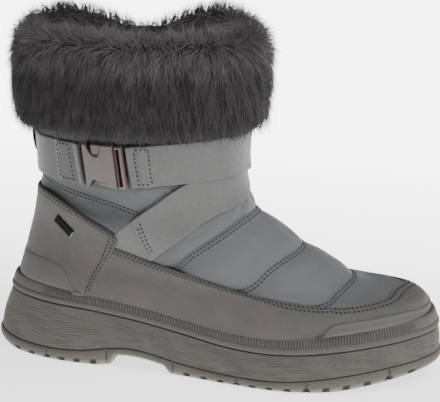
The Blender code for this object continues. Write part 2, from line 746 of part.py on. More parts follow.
def make_tag(parts, finish):
    """Small bare woven flag on the heel panel."""
    row = np.array(row_at_point(*TAG_CENTRE))
    turn = turn_at(TAG_CENTRE[0], row)
    out = Vector(upper_normal(turn, row))
    along = Vector((TAG_ALONG[0], 0.0, TAG_ALONG[1])).normalized()
    along = (along - out * along.dot(out)).normalized()
    frame = Matrix((along, out, along.cross(out))).transposed().to_4x4()
    lift = 3 * GAP + LEATHER + 0.0003 + 0.8 * TAG_SIZE[1]
    frame.translation = Vector(upper_skin(turn, row)) + out * lift
    block("side_tag", TAG_SIZE, frame, parts).data.materials.append(finish)


def main():
    """Clear the scene and build every sub-part."""
    for thing in list(bpy.data.objects):
        bpy.data.objects.remove(thing)
    parts = bpy.data.collections.new("ankle_boot")
    cutters = bpy.data.collections.new("cutters")
    for group in (parts, cutters):
        bpy.context.scene.collection.children.link(group)
    make_outsole(parts, cutters, material("outsole_rubber", (0.16, 0.15, 0.13), 0.75))
    make_midsole(parts, material("midsole_foam", (0.16, 0.15, 0.135), 0.7))
    make_rim(parts, material("rim_rubber", (0.15, 0.145, 0.13), 0.7))
    make_insole(parts, material("footbed_felt", (0.05, 0.045, 0.045), 0.95))
    make_upper(parts, material("quilted_nylon", (0.19, 0.2, 0.215), 0.55))
    nubuck = material("nubuck", (0.15, 0.145, 0.135), 0.85)
    make_mudguard(parts, nubuck)
    make_heel_panel(parts, nubuck)
    make_cuff(parts, material("faux_fur", (0.05, 0.045, 0.048), 0.9))
    webbing = material("webbing", (0.25, 0.255, 0.255), 0.6)
    make_belt(parts, webbing)
    make_instep_strap(parts, webbing)
    make_buckle(parts, cutters, material("buckle_plastic", (0.22, 0.19, 0.175), 0.35))
    black = material("black_webbing", (0.01, 0.01, 0.011), 0.7)
    make_pull_loop(parts, black)
    make_tag(parts, black)


main()
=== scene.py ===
"""Looks of a quilted winter ankle boot, right foot, with a fur cuff and webbing straps.

Axes: +X toward the toe, +Z up, -Y the outer side. Patterns are in millimetres of the
base size, graded to metres by world(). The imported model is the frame. The surfaces here
are worked out from patterns like the model's and stand for its nodes; the toe is a
little fuller in front, and the mudguard's edge lies by the photo's line.
"""
import math

import bpy
import numpy as np
from bpy.props import FloatProperty, FloatVectorProperty, IntProperty, PointerProperty
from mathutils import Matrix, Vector

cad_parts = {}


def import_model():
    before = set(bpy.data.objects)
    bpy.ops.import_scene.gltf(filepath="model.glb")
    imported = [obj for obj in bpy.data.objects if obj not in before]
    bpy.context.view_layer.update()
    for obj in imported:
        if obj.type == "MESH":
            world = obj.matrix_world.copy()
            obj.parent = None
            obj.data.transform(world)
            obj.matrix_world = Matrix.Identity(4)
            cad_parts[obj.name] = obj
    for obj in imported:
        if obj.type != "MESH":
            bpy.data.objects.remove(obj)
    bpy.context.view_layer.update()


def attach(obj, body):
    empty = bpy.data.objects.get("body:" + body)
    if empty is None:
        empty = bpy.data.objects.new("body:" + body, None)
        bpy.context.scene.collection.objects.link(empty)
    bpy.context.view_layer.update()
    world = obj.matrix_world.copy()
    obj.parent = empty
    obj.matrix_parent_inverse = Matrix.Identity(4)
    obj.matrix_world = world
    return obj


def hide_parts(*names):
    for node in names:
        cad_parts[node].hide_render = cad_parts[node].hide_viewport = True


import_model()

bl_info = {
    "name": "Winter boot pieces",
    "version": (1, 0, 0),
    "blender": (4, 5, 0),
    "location": "View3D > Sidebar > Boot",
    "description": "Builds the visible pieces and finishes of a quilted winter boot",
    "category": "Add Mesh",
}

# --- patterns, the model's but for the toe and the mudguard's edge ------------
MM = 0.001 * 0.95  # one pattern millimetre, in metres
SOLE_LENGTH = 290.0
HEEL_REST = 42.0  # x of the origin
GAP = 0.0003  # metres from here to INSOLE_THICK
WALL = 0.0024
LEATHER = 0.0013
WEBBING = 0.026
WEBBING_THICK = 0.0016
INSOLE_THICK = 0.0045
RIM_HEIGHT = 10.5
COLLAR_Z = 212.0

OUTLINE_COLUMNS = ("station", "outer", "inner")
OUTLINE = (
    (0.00, 0.0, 0.0),
    (0.07, 26.0, 26.0),
    (0.16, 36.0, 35.0),
    (0.28, 39.0, 34.0),
    (0.42, 42.0, 34.0),
    (0.55, 49.0, 41.0),
    (0.67, 53.5, 47.5),
    (0.77, 51.0, 48.5),
    (0.87, 41.5, 43.5),
    (0.95, 26.5, 31.0),
    (0.985, 14.5, 18.0),
    (1.00, 0.0, 0.0),
)
SOLE_COLUMNS = ("station", "tread", "line", "deck", "flare")
SOLE = (
    (0.00, 4.5, 12.0, 39.5, 8.6),
    (0.05, 0.6, 9.4, 39.2, 6.6),
    (0.10, 0.0, 8.4, 38.8, 4.8),
    (0.20, 0.0, 9.4, 37.8, 3.2),
    (0.32, 0.0, 14.2, 34.0, 2.6),
    (0.45, 0.0, 8.6, 28.2, 2.4),
    (0.58, 0.0, 6.2, 23.6, 2.5),
    (0.70, 0.0, 7.2, 23.8, 2.5),
    (0.80, 1.2, 11.0, 26.6, 2.2),
    (0.90, 6.0, 15.2, 30.0, 1.8),
    (1.00, 11.5, 18.4, 33.0, 1.4),
)
ARCH = (82.0, 122.0)  # from the heel's breast to the forefoot
ARCH_THICK = 5.0
GROOVE_X = (15.0, 25.5, 36.8, 47.0, 57.5, 69.0, 134.5, 146.5, 158.0, 169.0, 179.5, 190.5,
            202.0, 214.0, 226.0, 238.0, 250.5, 263.0, 276.0)
DIVIDER_X = (37.0, 79.0, 125.0, 169.0, 214.0, 263.0)  # grooves that climb the side wall
CHANNEL_Y = 13.0

UPPER_COLUMNS = ("back_x", "back_z", "front_x", "front_z", "dip", "outer", "inner",
                 "oval", "heel", "toe", "widest")
UPPER = (
    (9.0, 39.9, 281.5, 33.4, 11.8, 47.5, 42.0, 0.00, 0.90, 0.95, 0.50),
    (8.5, 50.0, 281.5, 43.0, 11.0, 50.0, 44.5, 0.00, 0.90, 0.95, 0.50),
    (10.5, 59.0, 281.5, 49.3, 7.5, 49.5, 44.0, 0.10, 0.90, 0.95, 0.50),
    (13.5, 70.0, 274.5, 53.4, 3.5, 46.5, 40.5, 0.30, 0.90, 0.95, 0.55),
    (16.5, 81.0, 245.5, 57.0, 1.0, 44.0, 39.0, 0.60, 0.88, 0.97, 0.55),
    (19.5, 91.0, 211.0, 75.3, 0.0, 42.5, 40.0, 0.85, 0.88, 0.98, 0.54),
    (21.5, 100.0, 186.5, 90.5, 0.0, 42.0, 40.5, 1.00, 0.88, 0.96, 0.52),
    (23.2, 108.0, 170.0, 103.5, 0.0, 42.0, 41.0, 1.00, 0.90, 0.94, 0.50),
    (24.2, 118.0, 162.5, 116.5, 0.0, 42.5, 42.0, 1.00, 0.92, 0.92, 0.50),
    (24.0, 130.0, 160.2, 130.0, 0.0, 43.5, 43.5, 1.00, 0.92, 0.92, 0.50),
    (23.5, 143.0, 159.8, 143.0, 0.0, 44.5, 44.5, 1.00, 0.92, 0.92, 0.50),
    (22.5, 162.0, 161.5, 162.0, 0.0, 45.5, 45.5, 1.00, 0.92, 0.92, 0.50),
    (21.5, 186.0, 163.0, 186.0, 0.0, 46.5, 46.5, 1.00, 0.92, 0.92, 0.50),
    (21.0, COLLAR_Z, 164.0, COLLAR_Z, 0.0, 47.0, 47.0, 1.00, 0.92, 0.92, 0.50),
)
TOP_ROW = len(UPPER) - 1.0

# x and height of the panels' top edges, and x of their joint at the rim and at the top
MUDGUARD_TOP = ((60.0, 88.0), (87.7, 81.0), (96.2, 78.8), (108.7, 75.1), (127.6, 70.2),
                (143.0, 66.3), (169.0, 60.4), (193.0, 56.4), (212.0, 54.6), (231.0, 53.6),
                (242.0, 53.95), (250.0, 54.35), (257.0, 54.5), (265.0, 54.45), (275.0, 54.2),
                (285.0, 53.9))
INNER_DROP = 0.4  # rows by which the mudguard's top edge is lower inside the toe
HEEL_PANEL_TOP = ((15.0, 114.0), (38.0, 113.0), (55.0, 106.5), (71.0, 98.5), (82.0, 93.0),
                  (92.0, 86.0))
PANEL_JOINT_LOW = 65.5
PANEL_JOINT_HIGH = 89.0

# x, and how far the heel cup and the toe bumper rise above the rim
CUP_TOP = ((0.0, 17.5), (30.0, 18.0), (42.0, 17.0), (49.0, 13.5), (53.0, 6.5), (56.0, 0.8),
           (62.0, 0.8))
BUMPER_TOP = ((218.0, 0.8), (222.0, 1.4), (225.0, 4.6), (228.0, 6.8), (233.0, 7.5),
              (250.0, 7.4), (266.0, 7.1), (280.0, 5.8), (295.0, 5.6))

STRAP_SEAT = 0.0009  # how far the straps stand off the shell
BELT_Z = 138.6
BELT_PATH = (  # turn and height of the belt's middle
    (0.0, 137.5), (0.15, 138.0), (0.25, 138.6), (0.34, 141.4), (0.42, 143.0), (0.50, 142.4),
    (0.60, 140.0), (0.75, 138.6), (1.0, 137.5),
)
STRAP_SIDE_COLUMNS = ("along", "low_x", "low_z", "high_x", "high_z")
STRAP_SIDE = (
    (-0.15, 99.7, 68.0, 77.6, 85.4),
    (0.00, 109.5, 75.5, 88.0, 93.8),
    (0.33, 131.0, 92.0, 111.0, 112.4),
    (0.60, 150.5, 105.4, 133.0, 128.6),
)
STRAP_WRAP_COLUMNS = ("along", "low_turn", "low_z", "high_turn", "high_z")
STRAP_WRAP = (
    (0.80, 0.487, 113.0, 0.43, 141.0),
    (1.00, 0.56, 122.0, 0.515, 150.0),
)
BUCKLE_X = (69.0, 97.5)  # x of its two ends
BUCKLE_THICK = 0.0062
BUCKLE_HIGH = 0.0268
BUCKLE_STANDOFF = 0.0009
SOCKET_SHARE = 0.75  # the socket's part of the buckle's length
PLUG_SHORT = 1.6  # mm of the plug that its webbing covers
LOOP_TURN = 0.026  # half the pull loop's width, as turn
LOOP_Z = (136.5, 156.8)
TAG_CENTRE = (49.3, 92.8)  # x and z
TAG_ALONG = (12.0, -8.9)  # its direction in the side view
TAG_SIZE = (0.0145, 0.0062)  # its length and its width

# --- seams and folds, as turn round the boot and row up the shell -------------
VAMP_SEAMS = (
    ((0.235, 3.85), (0.247, 4.17), (0.273, 4.73), (0.314, 5.43), (0.362, 6.10), (0.422, 6.68),
     (0.50, 6.90)),
    ((0.285, 3.40), (0.301, 3.75), (0.343, 4.45), (0.396, 4.98), (0.454, 5.27), (0.50, 5.33)),
    ((0.34, 2.80), (0.356, 3.15), (0.399, 3.84), (0.452, 4.22), (0.50, 4.29)),
)
QUARTER_SEAM = ((0.0, 8.52), (0.045, 8.43), (0.075, 8.29), (0.125, 8.04), (0.18, 7.76),
                (0.23, 7.42), (0.265, 6.95))
FOLDS = (  # soft folds: turn and row of both ends, depth and width in mm
    (0.478, 7.85, 0.408, 6.57, 1.0, 2.6),
    (0.492, 7.85, 0.520, 6.92, 0.8, 2.4),
    (0.330, 6.60, 0.400, 7.12, 0.5, 3.5),
    (0.300, 5.85, 0.345, 6.36, 0.6, 3.0),
    (0.100, 7.60, 0.215, 6.73, 1.5, 4.5),
    (0.150, 8.32, 0.235, 7.97, 0.7, 4.0),
    (0.275, 7.57, 0.285, 8.31, 0.6, 3.5),
    (0.335, 5.44, 0.395, 5.89, 0.35, 5.0),
    (0.300, 4.34, 0.350, 4.93, 0.4, 5.0),
    (0.380, 4.46, 0.440, 4.75, 0.35, 5.0),
    (0.370, 3.88, 0.410, 4.27, 0.3, 4.0),
    (0.600, 6.60, 0.545, 7.73, 1.0, 3.0),
    (0.690, 5.88, 0.640, 6.55, 0.8, 3.5),
    (0.900, 7.60, 0.790, 6.77, 1.3, 4.5),
    (0.760, 8.06, 0.700, 7.59, 0.8, 5.0),
    (0.665, 5.48, 0.610, 5.92, 0.4, 5.0),
    (0.985, 7.82, 1.015, 8.13, 0.6, 3.0),
)
FUR_ROOTS = (  # distance out from the shell and height, from the hem over to the inside
    (1.0, 160.6), (4.5, 160.2), (8.4, 163.8), (9.8, 173.0), (10.3, 185.0), (10.0, 197.0),
    (9.0, 207.0), (6.5, 214.0), (2.5, 218.0), (-2.5, 218.0), (-5.8, 213.5), (-6.6, 205.0),
    (-5.4, 197.5), (-3.4, 194.5),
)
FUR_BACK = (  # the rest of the fur's backing, down the shell's two faces
    (-3.0, 198.0), (-3.0, 205.0), (-3.0, 212.5), (0.5, 212.5), (0.5, 198.0), (0.5, 184.0),
    (0.5, 170.0), (0.5, 160.5),
)


# --- profiles and details -----------------------------------------------------
WALL_PROFILE = (  # outsole's side: share of the way down, distance out in mm
    (0.00, -0.5), (0.025, 0.2), (0.09, 0.7), (0.20, 1.15), (0.36, 1.35), (0.50, 1.3),
    (0.60, 1.2), (0.68, 1.05), (0.76, 0.8), (0.84, 0.5), (0.90, 0.1), (0.96, -0.6), (1.00, -1.5),
)
LINE_COUNT = 17.0  # lines up the midsole where it is 24 mm tall
MIDSOLE_DRAW = ((0.0, 1.0), (0.45, 0.62), (1.0, 0.0))  # share of the flare on the way up
# share of a section's length, share of the dip between its ends
DIP_SHAPE = ((0.0, 0.0), (0.2, 0.05), (0.4, 0.5), (0.6, 1.0), (0.8, 0.62), (1.0, 0.0))
TREAD_DEEP = 3.4  # mm that the tread's grooves are deep
RIM_PROFILE = (  # height above the deck, distance out, share of rib depth, in mm
    (0.25, -0.9, 0.0), (0.45, -0.2, 0.0), (1.0, 0.3, 0.0), (1.9, 0.55, 0.0), (2.9, 0.5, 0.0),
    (3.7, 0.2, 0.0), (4.2, -0.2, 0.0), (4.5, -0.7, 0.0), (4.8, -0.6, 0.3), (5.1, -0.4, 1.0),
    (6.3, -0.55, 1.0), (7.8, -0.95, 1.0), (9.2, -1.5, 1.0), (10.1, -1.9, 0.8),
    (10.6, -2.25, 0.3), (10.8, -2.5, 0.0), (11.1, -2.8, 0.0), (11.2, -3.2, 0.0),
)
# painted shade on the band by height above the deck, in mm: dark in its grooves and dimmed over the
# band below the ribs
RIM_SHADE = {0.25: 0.7, 0.45: 0.25, 1.0: 0.2, 1.9: 0.14, 2.9: 0.08, 4.2: 0.1, 4.5: 0.4, 4.8: 0.2,
             10.8: 0.2}
DEEPEST = 0.0013  # how far the quilting may sink below the skin, so the lining stays hidden
SEAM_FLAT = 0.0009  # metres either side of a seam that lie flat
LAP_ABOVE, LAP_BELOW = 0.0024, 0.0014  # the same for the lapped seam
LAP_CREASE = 0.0025  # metres from it that its crease runs
SEAM_FOOT = 0.0019  # metres from the other seams that they are shaded
SHELF = 11.2  # mm above the deck where the cup and bumper begin
PANEL_ROWS = (0.0014, 0.0035)  # stitch rows, metres inside a panel's edge
# rows of points near a panel's top edge, in mm down from it
PANEL_NEAR = (0.0, 0.08, 0.25, 0.5, 0.8, 1.1, 1.4, 1.7, 2.1, 2.5, 3.0, 3.5, 4.0, 4.6, 5.4)
PANEL_WAVE = 0.00012  # unevenness of the leather, in cells of PANEL_CELL
PANEL_CELL = 0.03
HEEL_BASE = 1.7 * GAP  # the heel panel's underside
HEEL_LEATHER = LEATHER + 0.0006  # its thickness
HEEL_CORNER = 0.0045
SHELL_INNER = -0.0017  # the padded cloth's inner face
LINING_OUTER = -0.0018  # the lining's outer face
CUP_PROFILE = (  # share of the way up the cup, distance out from the shell in metres
    (0.0, 0.0026), (0.04, 0.0031), (0.12, 0.0032), (0.25, 0.0031), (0.38, 0.0030),
    (0.46, 0.0030), (0.54, 0.0029), (0.70, 0.0028), (0.84, 0.0028), (0.93, 0.0027),
    (0.98, 0.0023), (1.0, 0.0015),
)
FOLD_THICK = 0.0011  # what a strap's folded end adds
FOLD_LONG = (0.0165, 0.0225)  # doubled length of the belt before and behind the buckle
ROLL = 0.0024  # how far the belt's folds stand out where they turn round the buckle
BUCKLE_TILT = 7.0  # degrees that the buckle's upright lines lean back
BELT_ROW = 9.7  # row of the shell that the belt runs along
BELT_NEAR, BELT_FAR = 0.055, 0.075  # turns at its two ends that are laid out finely
TAB_THICK = 0.0006  # the instep strap where it is tucked in
STRAP_ROWS = (  # two stitch rows as (turn, row) of their ends
    ((0.2578, 6.53), (0.2411, 4.78)),
    ((0.2508, 6.33), (0.2352, 4.72)),
)
BELT_FRONT = (0.0055, 0.0135)  # stitch rows, metres from the belt's front end
BELT_REAR = (0.0095, 0.0190)  # the same from its rear end
BELT_HALF_BOX = 0.0108  # half the height of the belt's box stitch
THREAD = (0.0016, 0.0005, 0.0005)  # a stitch's length, width and height
HOLE_HIGH = 0.0006
HOLE_LIFT = 0.00008
STRAP_PITCH = 0.0027
PANEL_HOLE, SHELL_HOLE, STRAP_HOLE = 0.0016, 0.0013, 0.0015  # lengths of the needle holes
SOCKET_LOW = (  # mm from the socket's left end, mm that it reaches below the middle
    (0.0, 13.0), (1.2, 13.7), (2.4, 12.8), (4.0, 10.6), (5.2, 9.4), (6.0, 10.4), (8.0, 11.3),
    (12.0, 12.4), (16.0, 13.2), (21.0, 13.7),
)
WINDOW = (  # mm from the socket's left end, height of the thumb window's lower edge
    (3.0, 13.9), (4.2, 10.4), (5.6, 8.0), (7.4, 6.7), (9.2, 6.4), (10.8, 7.3), (11.8, 9.6),
    (12.8, 13.9),
)
CREST_BUMPS = ((0.64, 7.0, 0.075), (0.91, 6.0, 0.07), (0.775, -9.0, 0.05))  # turn, mm, width
PILE_CREST = 0.70  # share of the fur's profile at its top
CLUMP = 26  # fibres to a clump
CLUMP_WIDE = 0.0019  # how far a clump's roots spread, in metres
PILE_AROUND = 0.41  # metres round the cuff
PILE_OVER = 0.088  # metres over its profile
FIBRE_WIDE = 0.00032  # at its root
PILE_SHORTEST, PILE_LONGEST = 0.003, 0.0145
CAMERA_TARGET = (0.0931, 0.0, 0.1045)
CAMERA_LENS = 123.4
CAMERA_SHIFT = (0.0172, -0.0127)
KEY_PLACE = (0.9, -0.4, 1.9)
FILL_PLACE = (1.75, -0.75, 0.75)
BACK_PLACE = (-1.0, -0.2, 1.5)
FLOOR_HALF = 9.0
GLOW_RISE = 0.55  # how far behind the boot the floor reaches its full glow


# --- shape functions ----------------------------------------------------------
def smooth(stations, values, at):
    """Cubic through the given rows, with slopes from each row's two neighbours."""
    stations = np.asarray(stations, float)
    values = np.asarray(values, float)
    at = np.asarray(at, float)
    steps = np.diff(stations)
    rates = np.diff(values) / steps
    slopes = np.empty_like(values)
    slopes[0] = rates[0]
    slopes[-1] = rates[-1]
    slopes[1:-1] = (rates[:-1] * steps[1:] + rates[1:] * steps[:-1]) / (steps[1:] + steps[:-1])
    cell = np.clip(np.searchsorted(stations, at) - 1, 0, len(stations) - 2)
    share = np.clip((at - stations[cell]) / steps[cell], 0.0, 1.0)
    square = share * share
    cube = square * share
    return ((2 * cube - 3 * square + 1) * values[cell]
            + (cube - 2 * square + share) * steps[cell] * slopes[cell]
            + (3 * square - 2 * cube) * values[cell + 1]
            + (cube - square) * steps[cell] * slopes[cell + 1])


def column(table, names, name):
    """One named column of a table."""
    return np.array([row[names.index(name)] for row in table])


def ease(low, high, value):
    """Smooth step from 0 at low to 1 at high."""
    share = np.clip((value - low) / (high - low), 0.0, 1.0)
    return share * share * (3.0 - 2.0 * share)


def share_to_angle(share):
    """Angle round a half oval whose tip-to-tip share is given."""
    return np.arccos(np.clip(1.0 - 2.0 * np.asarray(share, float), -1.0, 1.0))


def half_width(share, side):
    """Half width of the sole edge at a share of its length."""
    stations = share_to_angle(column(OUTLINE, OUTLINE_COLUMNS, "station"))
    return smooth(stations, column(OUTLINE, OUTLINE_COLUMNS, side), share_to_angle(share))


def sole_height(name, x):
    """A height or flare of the sole at x."""
    stations = column(SOLE, SOLE_COLUMNS, "station") * SOLE_LENGTH
    return smooth(stations, column(SOLE, SOLE_COLUMNS, name), np.clip(x, 0.0, SOLE_LENGTH))


def edge_point(turn, grow):
    """Sole edge at each turn, moved outward by grow along the edge's own normal."""
    def on_edge(at):
        share = 0.5 - 0.5 * np.cos(2 * math.pi * at)
        outer = (at % 1.0) <= 0.5
        y = np.where(outer, -half_width(share, "outer"), half_width(share, "inner"))
        return share * SOLE_LENGTH, y

    x, y = on_edge(turn)
    ahead_x, ahead_y = on_edge(turn + 0.004)
    back_x, back_y = on_edge(turn - 0.004)
    dx = ahead_x - back_x
    dy = ahead_y - back_y
    length = np.hypot(dx, dy)
    return x + grow * dy / length, y - grow * dx / length


def world(x, y, z):
    """Pattern millimetres to metres about the origin."""
    x, y, z = np.broadcast_arrays(x, y, z)
    return np.stack([(x - HEEL_REST) * MM, y * MM, z * MM], -1)


def pattern_x(points):
    """Pattern x of points in metres."""
    return points[..., 0] / MM + HEEL_REST


def section(row, name):
    """A column of the upper's table at a row between 0 and TOP_ROW."""
    rows = np.arange(len(UPPER), dtype=float)
    return smooth(rows, column(UPPER, UPPER_COLUMNS, name), row)


def upper_skin(turn, row):
    """Shell's outer face: a section's oval at each turn, hung between its end points."""
    turn, row = np.broadcast_arrays(np.asarray(turn, float) % 1.0,
                                    np.clip(np.asarray(row, float), 0.0, TOP_ROW))
    share = 0.5 - 0.5 * np.cos(2 * math.pi * turn)
    outer = turn <= 0.5
    back_x = section(row, "back_x")
    back_z = section(row, "back_z")
    x = back_x + (section(row, "front_x") - back_x) * share
    bump = curve_of(DIP_SHAPE)(share)
    z = back_z + (section(row, "front_z") - back_z) * share - section(row, "dip") * bump
    widest = np.where(outer, section(row, "outer"), section(row, "inner"))
    outline = np.where(outer, half_width(share, "outer") / 53.5, half_width(share, "inner") / 48.5)
    angle = share_to_angle(share)
    warp = math.log(0.5) / np.log(share_to_angle(section(row, "widest")) / math.pi)
    heel = section(row, "heel")
    blunt = heel + (section(row, "toe") - heel) * share
    oval = np.maximum(np.sin(math.pi * (angle / math.pi) ** warp), 0.0) ** blunt
    mix = section(row, "oval")
    width = widest * ((1.0 - mix) * outline + mix * oval)
    return world(x, np.where(outer, -width, width), z)


def upper_normal(turn, row):
    """Unit vector out of the shell, from differences of the skin."""
    low = np.clip(np.asarray(row, float) - 0.04, 0.0, TOP_ROW)
    high = np.clip(np.asarray(row, float) + 0.04, 0.0, TOP_ROW)
    along = upper_skin(turn + 0.002, row) - upper_skin(turn - 0.002, row)
    up = upper_skin(turn, high) - upper_skin(turn, low)
    return unit(np.cross(along, up))


def unit(vectors):
    """Vectors at length one."""
    return vectors / np.maximum(np.linalg.norm(vectors, axis=-1, keepdims=True), 1e-12)


def skin_line(turn, row):
    """Points of the skin and the normals there."""
    return upper_skin(turn, row), upper_normal(turn, row)


def on_shell(turn, row, out):
    """Point a distance out (metres) from the shell's outer face."""
    return upper_skin(turn, row) + upper_normal(turn, row) * np.asarray(out, float)[..., None]


def row_at(turn, height):
    """Row of each turn where the skin crosses the curve z = height(x)."""
    turn = np.asarray(turn, float)
    fine = np.linspace(0.0, TOP_ROW, 261)
    points = upper_skin(turn[..., None], fine)
    above = points[..., 2] / MM - height(pattern_x(points))
    first = np.maximum(np.argmax(above > 0.0, axis=-1), 1)
    low = np.take_along_axis(above, (first - 1)[..., None], -1)[..., 0]
    high = np.take_along_axis(above, first[..., None], -1)[..., 0]
    share = np.clip(-low / (high - low), 0.0, 1.0)
    return fine[first - 1] + share * (fine[first] - fine[first - 1])


def row_at_height(turn, height):
    """Row of each turn where the skin has its own height."""
    height = np.asarray(height, float)
    return row_at(turn, lambda x: height[..., None])


def turn_at(x, row):
    """Turn on the outer side where the skin of a row has this x."""
    back = section(row, "back_x")
    return share_to_angle((x - back) / (section(row, "front_x") - back)) / (2 * math.pi)


def side_spot(x, z):
    """Turn and row of a point of the outer side view, by repeated correction."""
    x = np.asarray(x, float)
    row = np.full(x.shape, 6.0)
    for _ in range(12):
        turn = turn_at(x, row)
        row = row_at_height(turn, z)
    return turn, row


def curve_of(points):
    """Smooth function through a short list of points, level beyond its ends."""
    xs = [point[0] for point in points]
    zs = [point[1] for point in points]
    return lambda x: smooth(xs, zs, np.clip(x, xs[0], xs[-1]))


def rim_top(x):
    """Height of the rim's upper edge, with the heel cup and the toe bumper."""
    rise = np.where(x < 140.0, curve_of(CUP_TOP)(x), curve_of(BUMPER_TOP)(x))
    return sole_height("deck", x) + RIM_HEIGHT + rise


def above_rim(x):
    """The model's lower edge of the panels: clear of the rim, also where it steps down."""
    near = [rim_top(x + shift) for shift in (-4.0, -2.0, 0.0, 2.0, 4.0)]
    return np.max(near, axis=0) + 0.6


def under_rim(x):
    """Lower edge of the panels as seen: tucked in below the rim's edge."""
    near = [rim_top(x + shift) for shift in (-1.5, 0.0, 1.5)]
    return np.min(near, axis=0) - 1.4


def belt_middle(turn):
    """Height of the belt's middle, a little higher in front."""
    return curve_of(BELT_PATH)(np.asarray(turn) % 1.0)


def belt_lift(turn):
    """How far the belt stands off to pass over the instep strap."""
    span = np.clip((turn - 0.25) / 0.04, 0.0, 1.0) * np.clip((0.66 - turn) / 0.06, 0.0, 1.0)
    return (WEBBING_THICK + STRAP_SEAT) * span


def joint_turn(level, shift, top):
    """Turn of the joint between the nubuck panels at each share of their height."""
    level = np.asarray(level, float)
    x = PANEL_JOINT_LOW + (PANEL_JOINT_HIGH - PANEL_JOINT_LOW) * level + shift
    row = np.full(level.shape, 3.0)
    for _ in range(8):
        turn = turn_at(x, row)
        low = row_at(turn, above_rim)
        row = low + (row_at(turn, top) - low) * level
    return turn_at(x, row)


def strap_edge(which, count):
    """The instep strap's "low" or "high" edge, as turns and heights."""
    side_x = column(STRAP_SIDE, STRAP_SIDE_COLUMNS, f"{which}_x")
    side_z = column(STRAP_SIDE, STRAP_SIDE_COLUMNS, f"{which}_z")
    side_turn, _ = side_spot(side_x, side_z)
    along = np.concatenate([column(STRAP_SIDE, STRAP_SIDE_COLUMNS, "along"),
                            column(STRAP_WRAP, STRAP_WRAP_COLUMNS, "along")])
    turn = np.concatenate([side_turn, column(STRAP_WRAP, STRAP_WRAP_COLUMNS, f"{which}_turn")])
    height = np.concatenate([side_z, column(STRAP_WRAP, STRAP_WRAP_COLUMNS, f"{which}_z")])
    at = np.linspace(along[0], 1.0, count)
    return smooth(along, turn, at), smooth(along, height, at)


def path_length(points):
    """Distance along a row of points from its first."""
    steps = np.linalg.norm(np.diff(points, axis=0), axis=1)
    return np.concatenate([[0.0], np.cumsum(steps)])


def seam_path(places, count):
    """Turns and rows of a smooth line through a few places on the shell."""
    turn = np.array([place[0] for place in places])
    row = np.array([place[1] for place in places])
    run = path_length(upper_skin(turn, row))
    at = np.linspace(0.0, run[-1], count)
    return smooth(run, turn, at), smooth(run, row, at)


def across(places):
    """A seam of the outer half and its mirror image, joined over the ridge."""
    return list(places) + [(1.0 - turn, row) for turn, row in reversed(places[:-1])]


def nearest(points, line, normals=None):
    """Distance from points to a line, the place along it, and the side of it.

    Each stretch of the line is tried in turn over the whole array of points; the side
    is the sign of (line direction x way to the point) against the surface's normal.
    """
    run = path_length(line)
    best = np.full(points.shape[:-1], np.inf)
    place = np.zeros(points.shape[:-1])
    side = np.ones(points.shape[:-1])
    for start, end, before in zip(line[:-1], line[1:], run[:-1]):
        step = end - start
        long = np.linalg.norm(step)
        share = np.clip((points - start) @ step / (long * long), 0.0, 1.0)
        away = points - (start + share[..., None] * step)
        distance = np.linalg.norm(away, axis=-1)
        closer = distance < best
        best = np.where(closer, distance, best)
        place = np.where(closer, before + share * long, place)
        if normals is not None:
            sign = np.sign((np.cross(step, away) * normals).sum(-1))
            side = np.where(closer, np.where(sign == 0, 1.0, sign), side)
    return best, place / run[-1], side


def ripple(points, size, seed):
    """Soft irregular waves between -1 and 1: sums of sines in turned directions."""
    pick = np.random.default_rng(seed)
    total = np.zeros(points.shape[:-1])
    for _ in range(7):
        direction = unit(pick.normal(size=3)) * (2 * math.pi / size) * pick.uniform(0.6, 1.5)
        total = total + np.sin(points @ direction + pick.uniform(0, 2 * math.pi))
    return total / 4.0


# --- mesh helpers -------------------------------------------------------------
def make_piece(name, points, faces, finish, stands_for=(), uv=None, values=None):
    """Mesh object from points (n, 3) and a list of face arrays, each (m, sides).

    uv holds one pair for each point; values holds named numbers, one for each point.
    """
    points = np.asarray(points, np.float32).reshape(-1, 3)
    kinds = [np.asarray(kind, np.int32) for kind in faces if len(kind)]
    corners = np.concatenate([kind.ravel() for kind in kinds])
    sides = np.concatenate([np.full(len(kind), kind.shape[1]) for kind in kinds])
    starts = np.concatenate([[0], np.cumsum(sides)[:-1]]).astype(np.int32)
    mesh = bpy.data.meshes.new(name)
    mesh.vertices.add(len(points))
    mesh.vertices.foreach_set("co", points.ravel())
    mesh.loops.add(len(corners))
    mesh.loops.foreach_set("vertex_index", corners)
    mesh.polygons.add(len(starts))
    mesh.polygons.foreach_set("loop_start", starts)
    mesh.update(calc_edges=True)
    mesh.shade_smooth()
    if uv is not None:
        layer = mesh.uv_layers.new(name="cloth")
        pairs = np.asarray(uv, np.float32).reshape(-1, 2)[corners]
        layer.uv.foreach_set("vector", pairs.ravel())
    for key, numbers in (values or {}).items():
        layer = mesh.attributes.new(key, "FLOAT", "POINT")
        layer.data.foreach_set("value", np.asarray(numbers, np.float32).ravel())
    mesh.materials.append(finish)
    thing = bpy.data.objects.new(name, mesh)
    bpy.context.scene.collection.objects.link(thing)
    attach(thing, "root")
    if stands_for:
        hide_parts(*stands_for)
    return thing


def grid_faces(rows, columns, around_rows=False, around_columns=False):
    """Quads of a grid of points, joined round in either direction where asked."""
    i = np.arange(rows if around_rows else rows - 1)[:, None]
    j = np.arange(columns if around_columns else columns - 1)[None, :]
    below = ((i + 1) % rows) * columns
    beside = (j + 1) % columns
    here = i * columns
    quads = np.stack([here + j, here + beside, below + beside, below + j], -1)
    return quads.reshape(-1, 4)


def outward(points, faces):
    """Faces of a closed body, all turned round if its signed volume is negative."""
    points = np.asarray(points, float).reshape(-1, 3)
    points = points - points.mean(0)
    volume = 0.0
    for kind in faces:
        for k in range(1, kind.shape[1] - 1):
            a, b, c = (points[kind[:, corner]] for corner in (0, k, k + 1))
            volume += (a * np.cross(b, c)).sum()
    return list(faces) if volume > 0 else [kind[:, ::-1] for kind in faces]


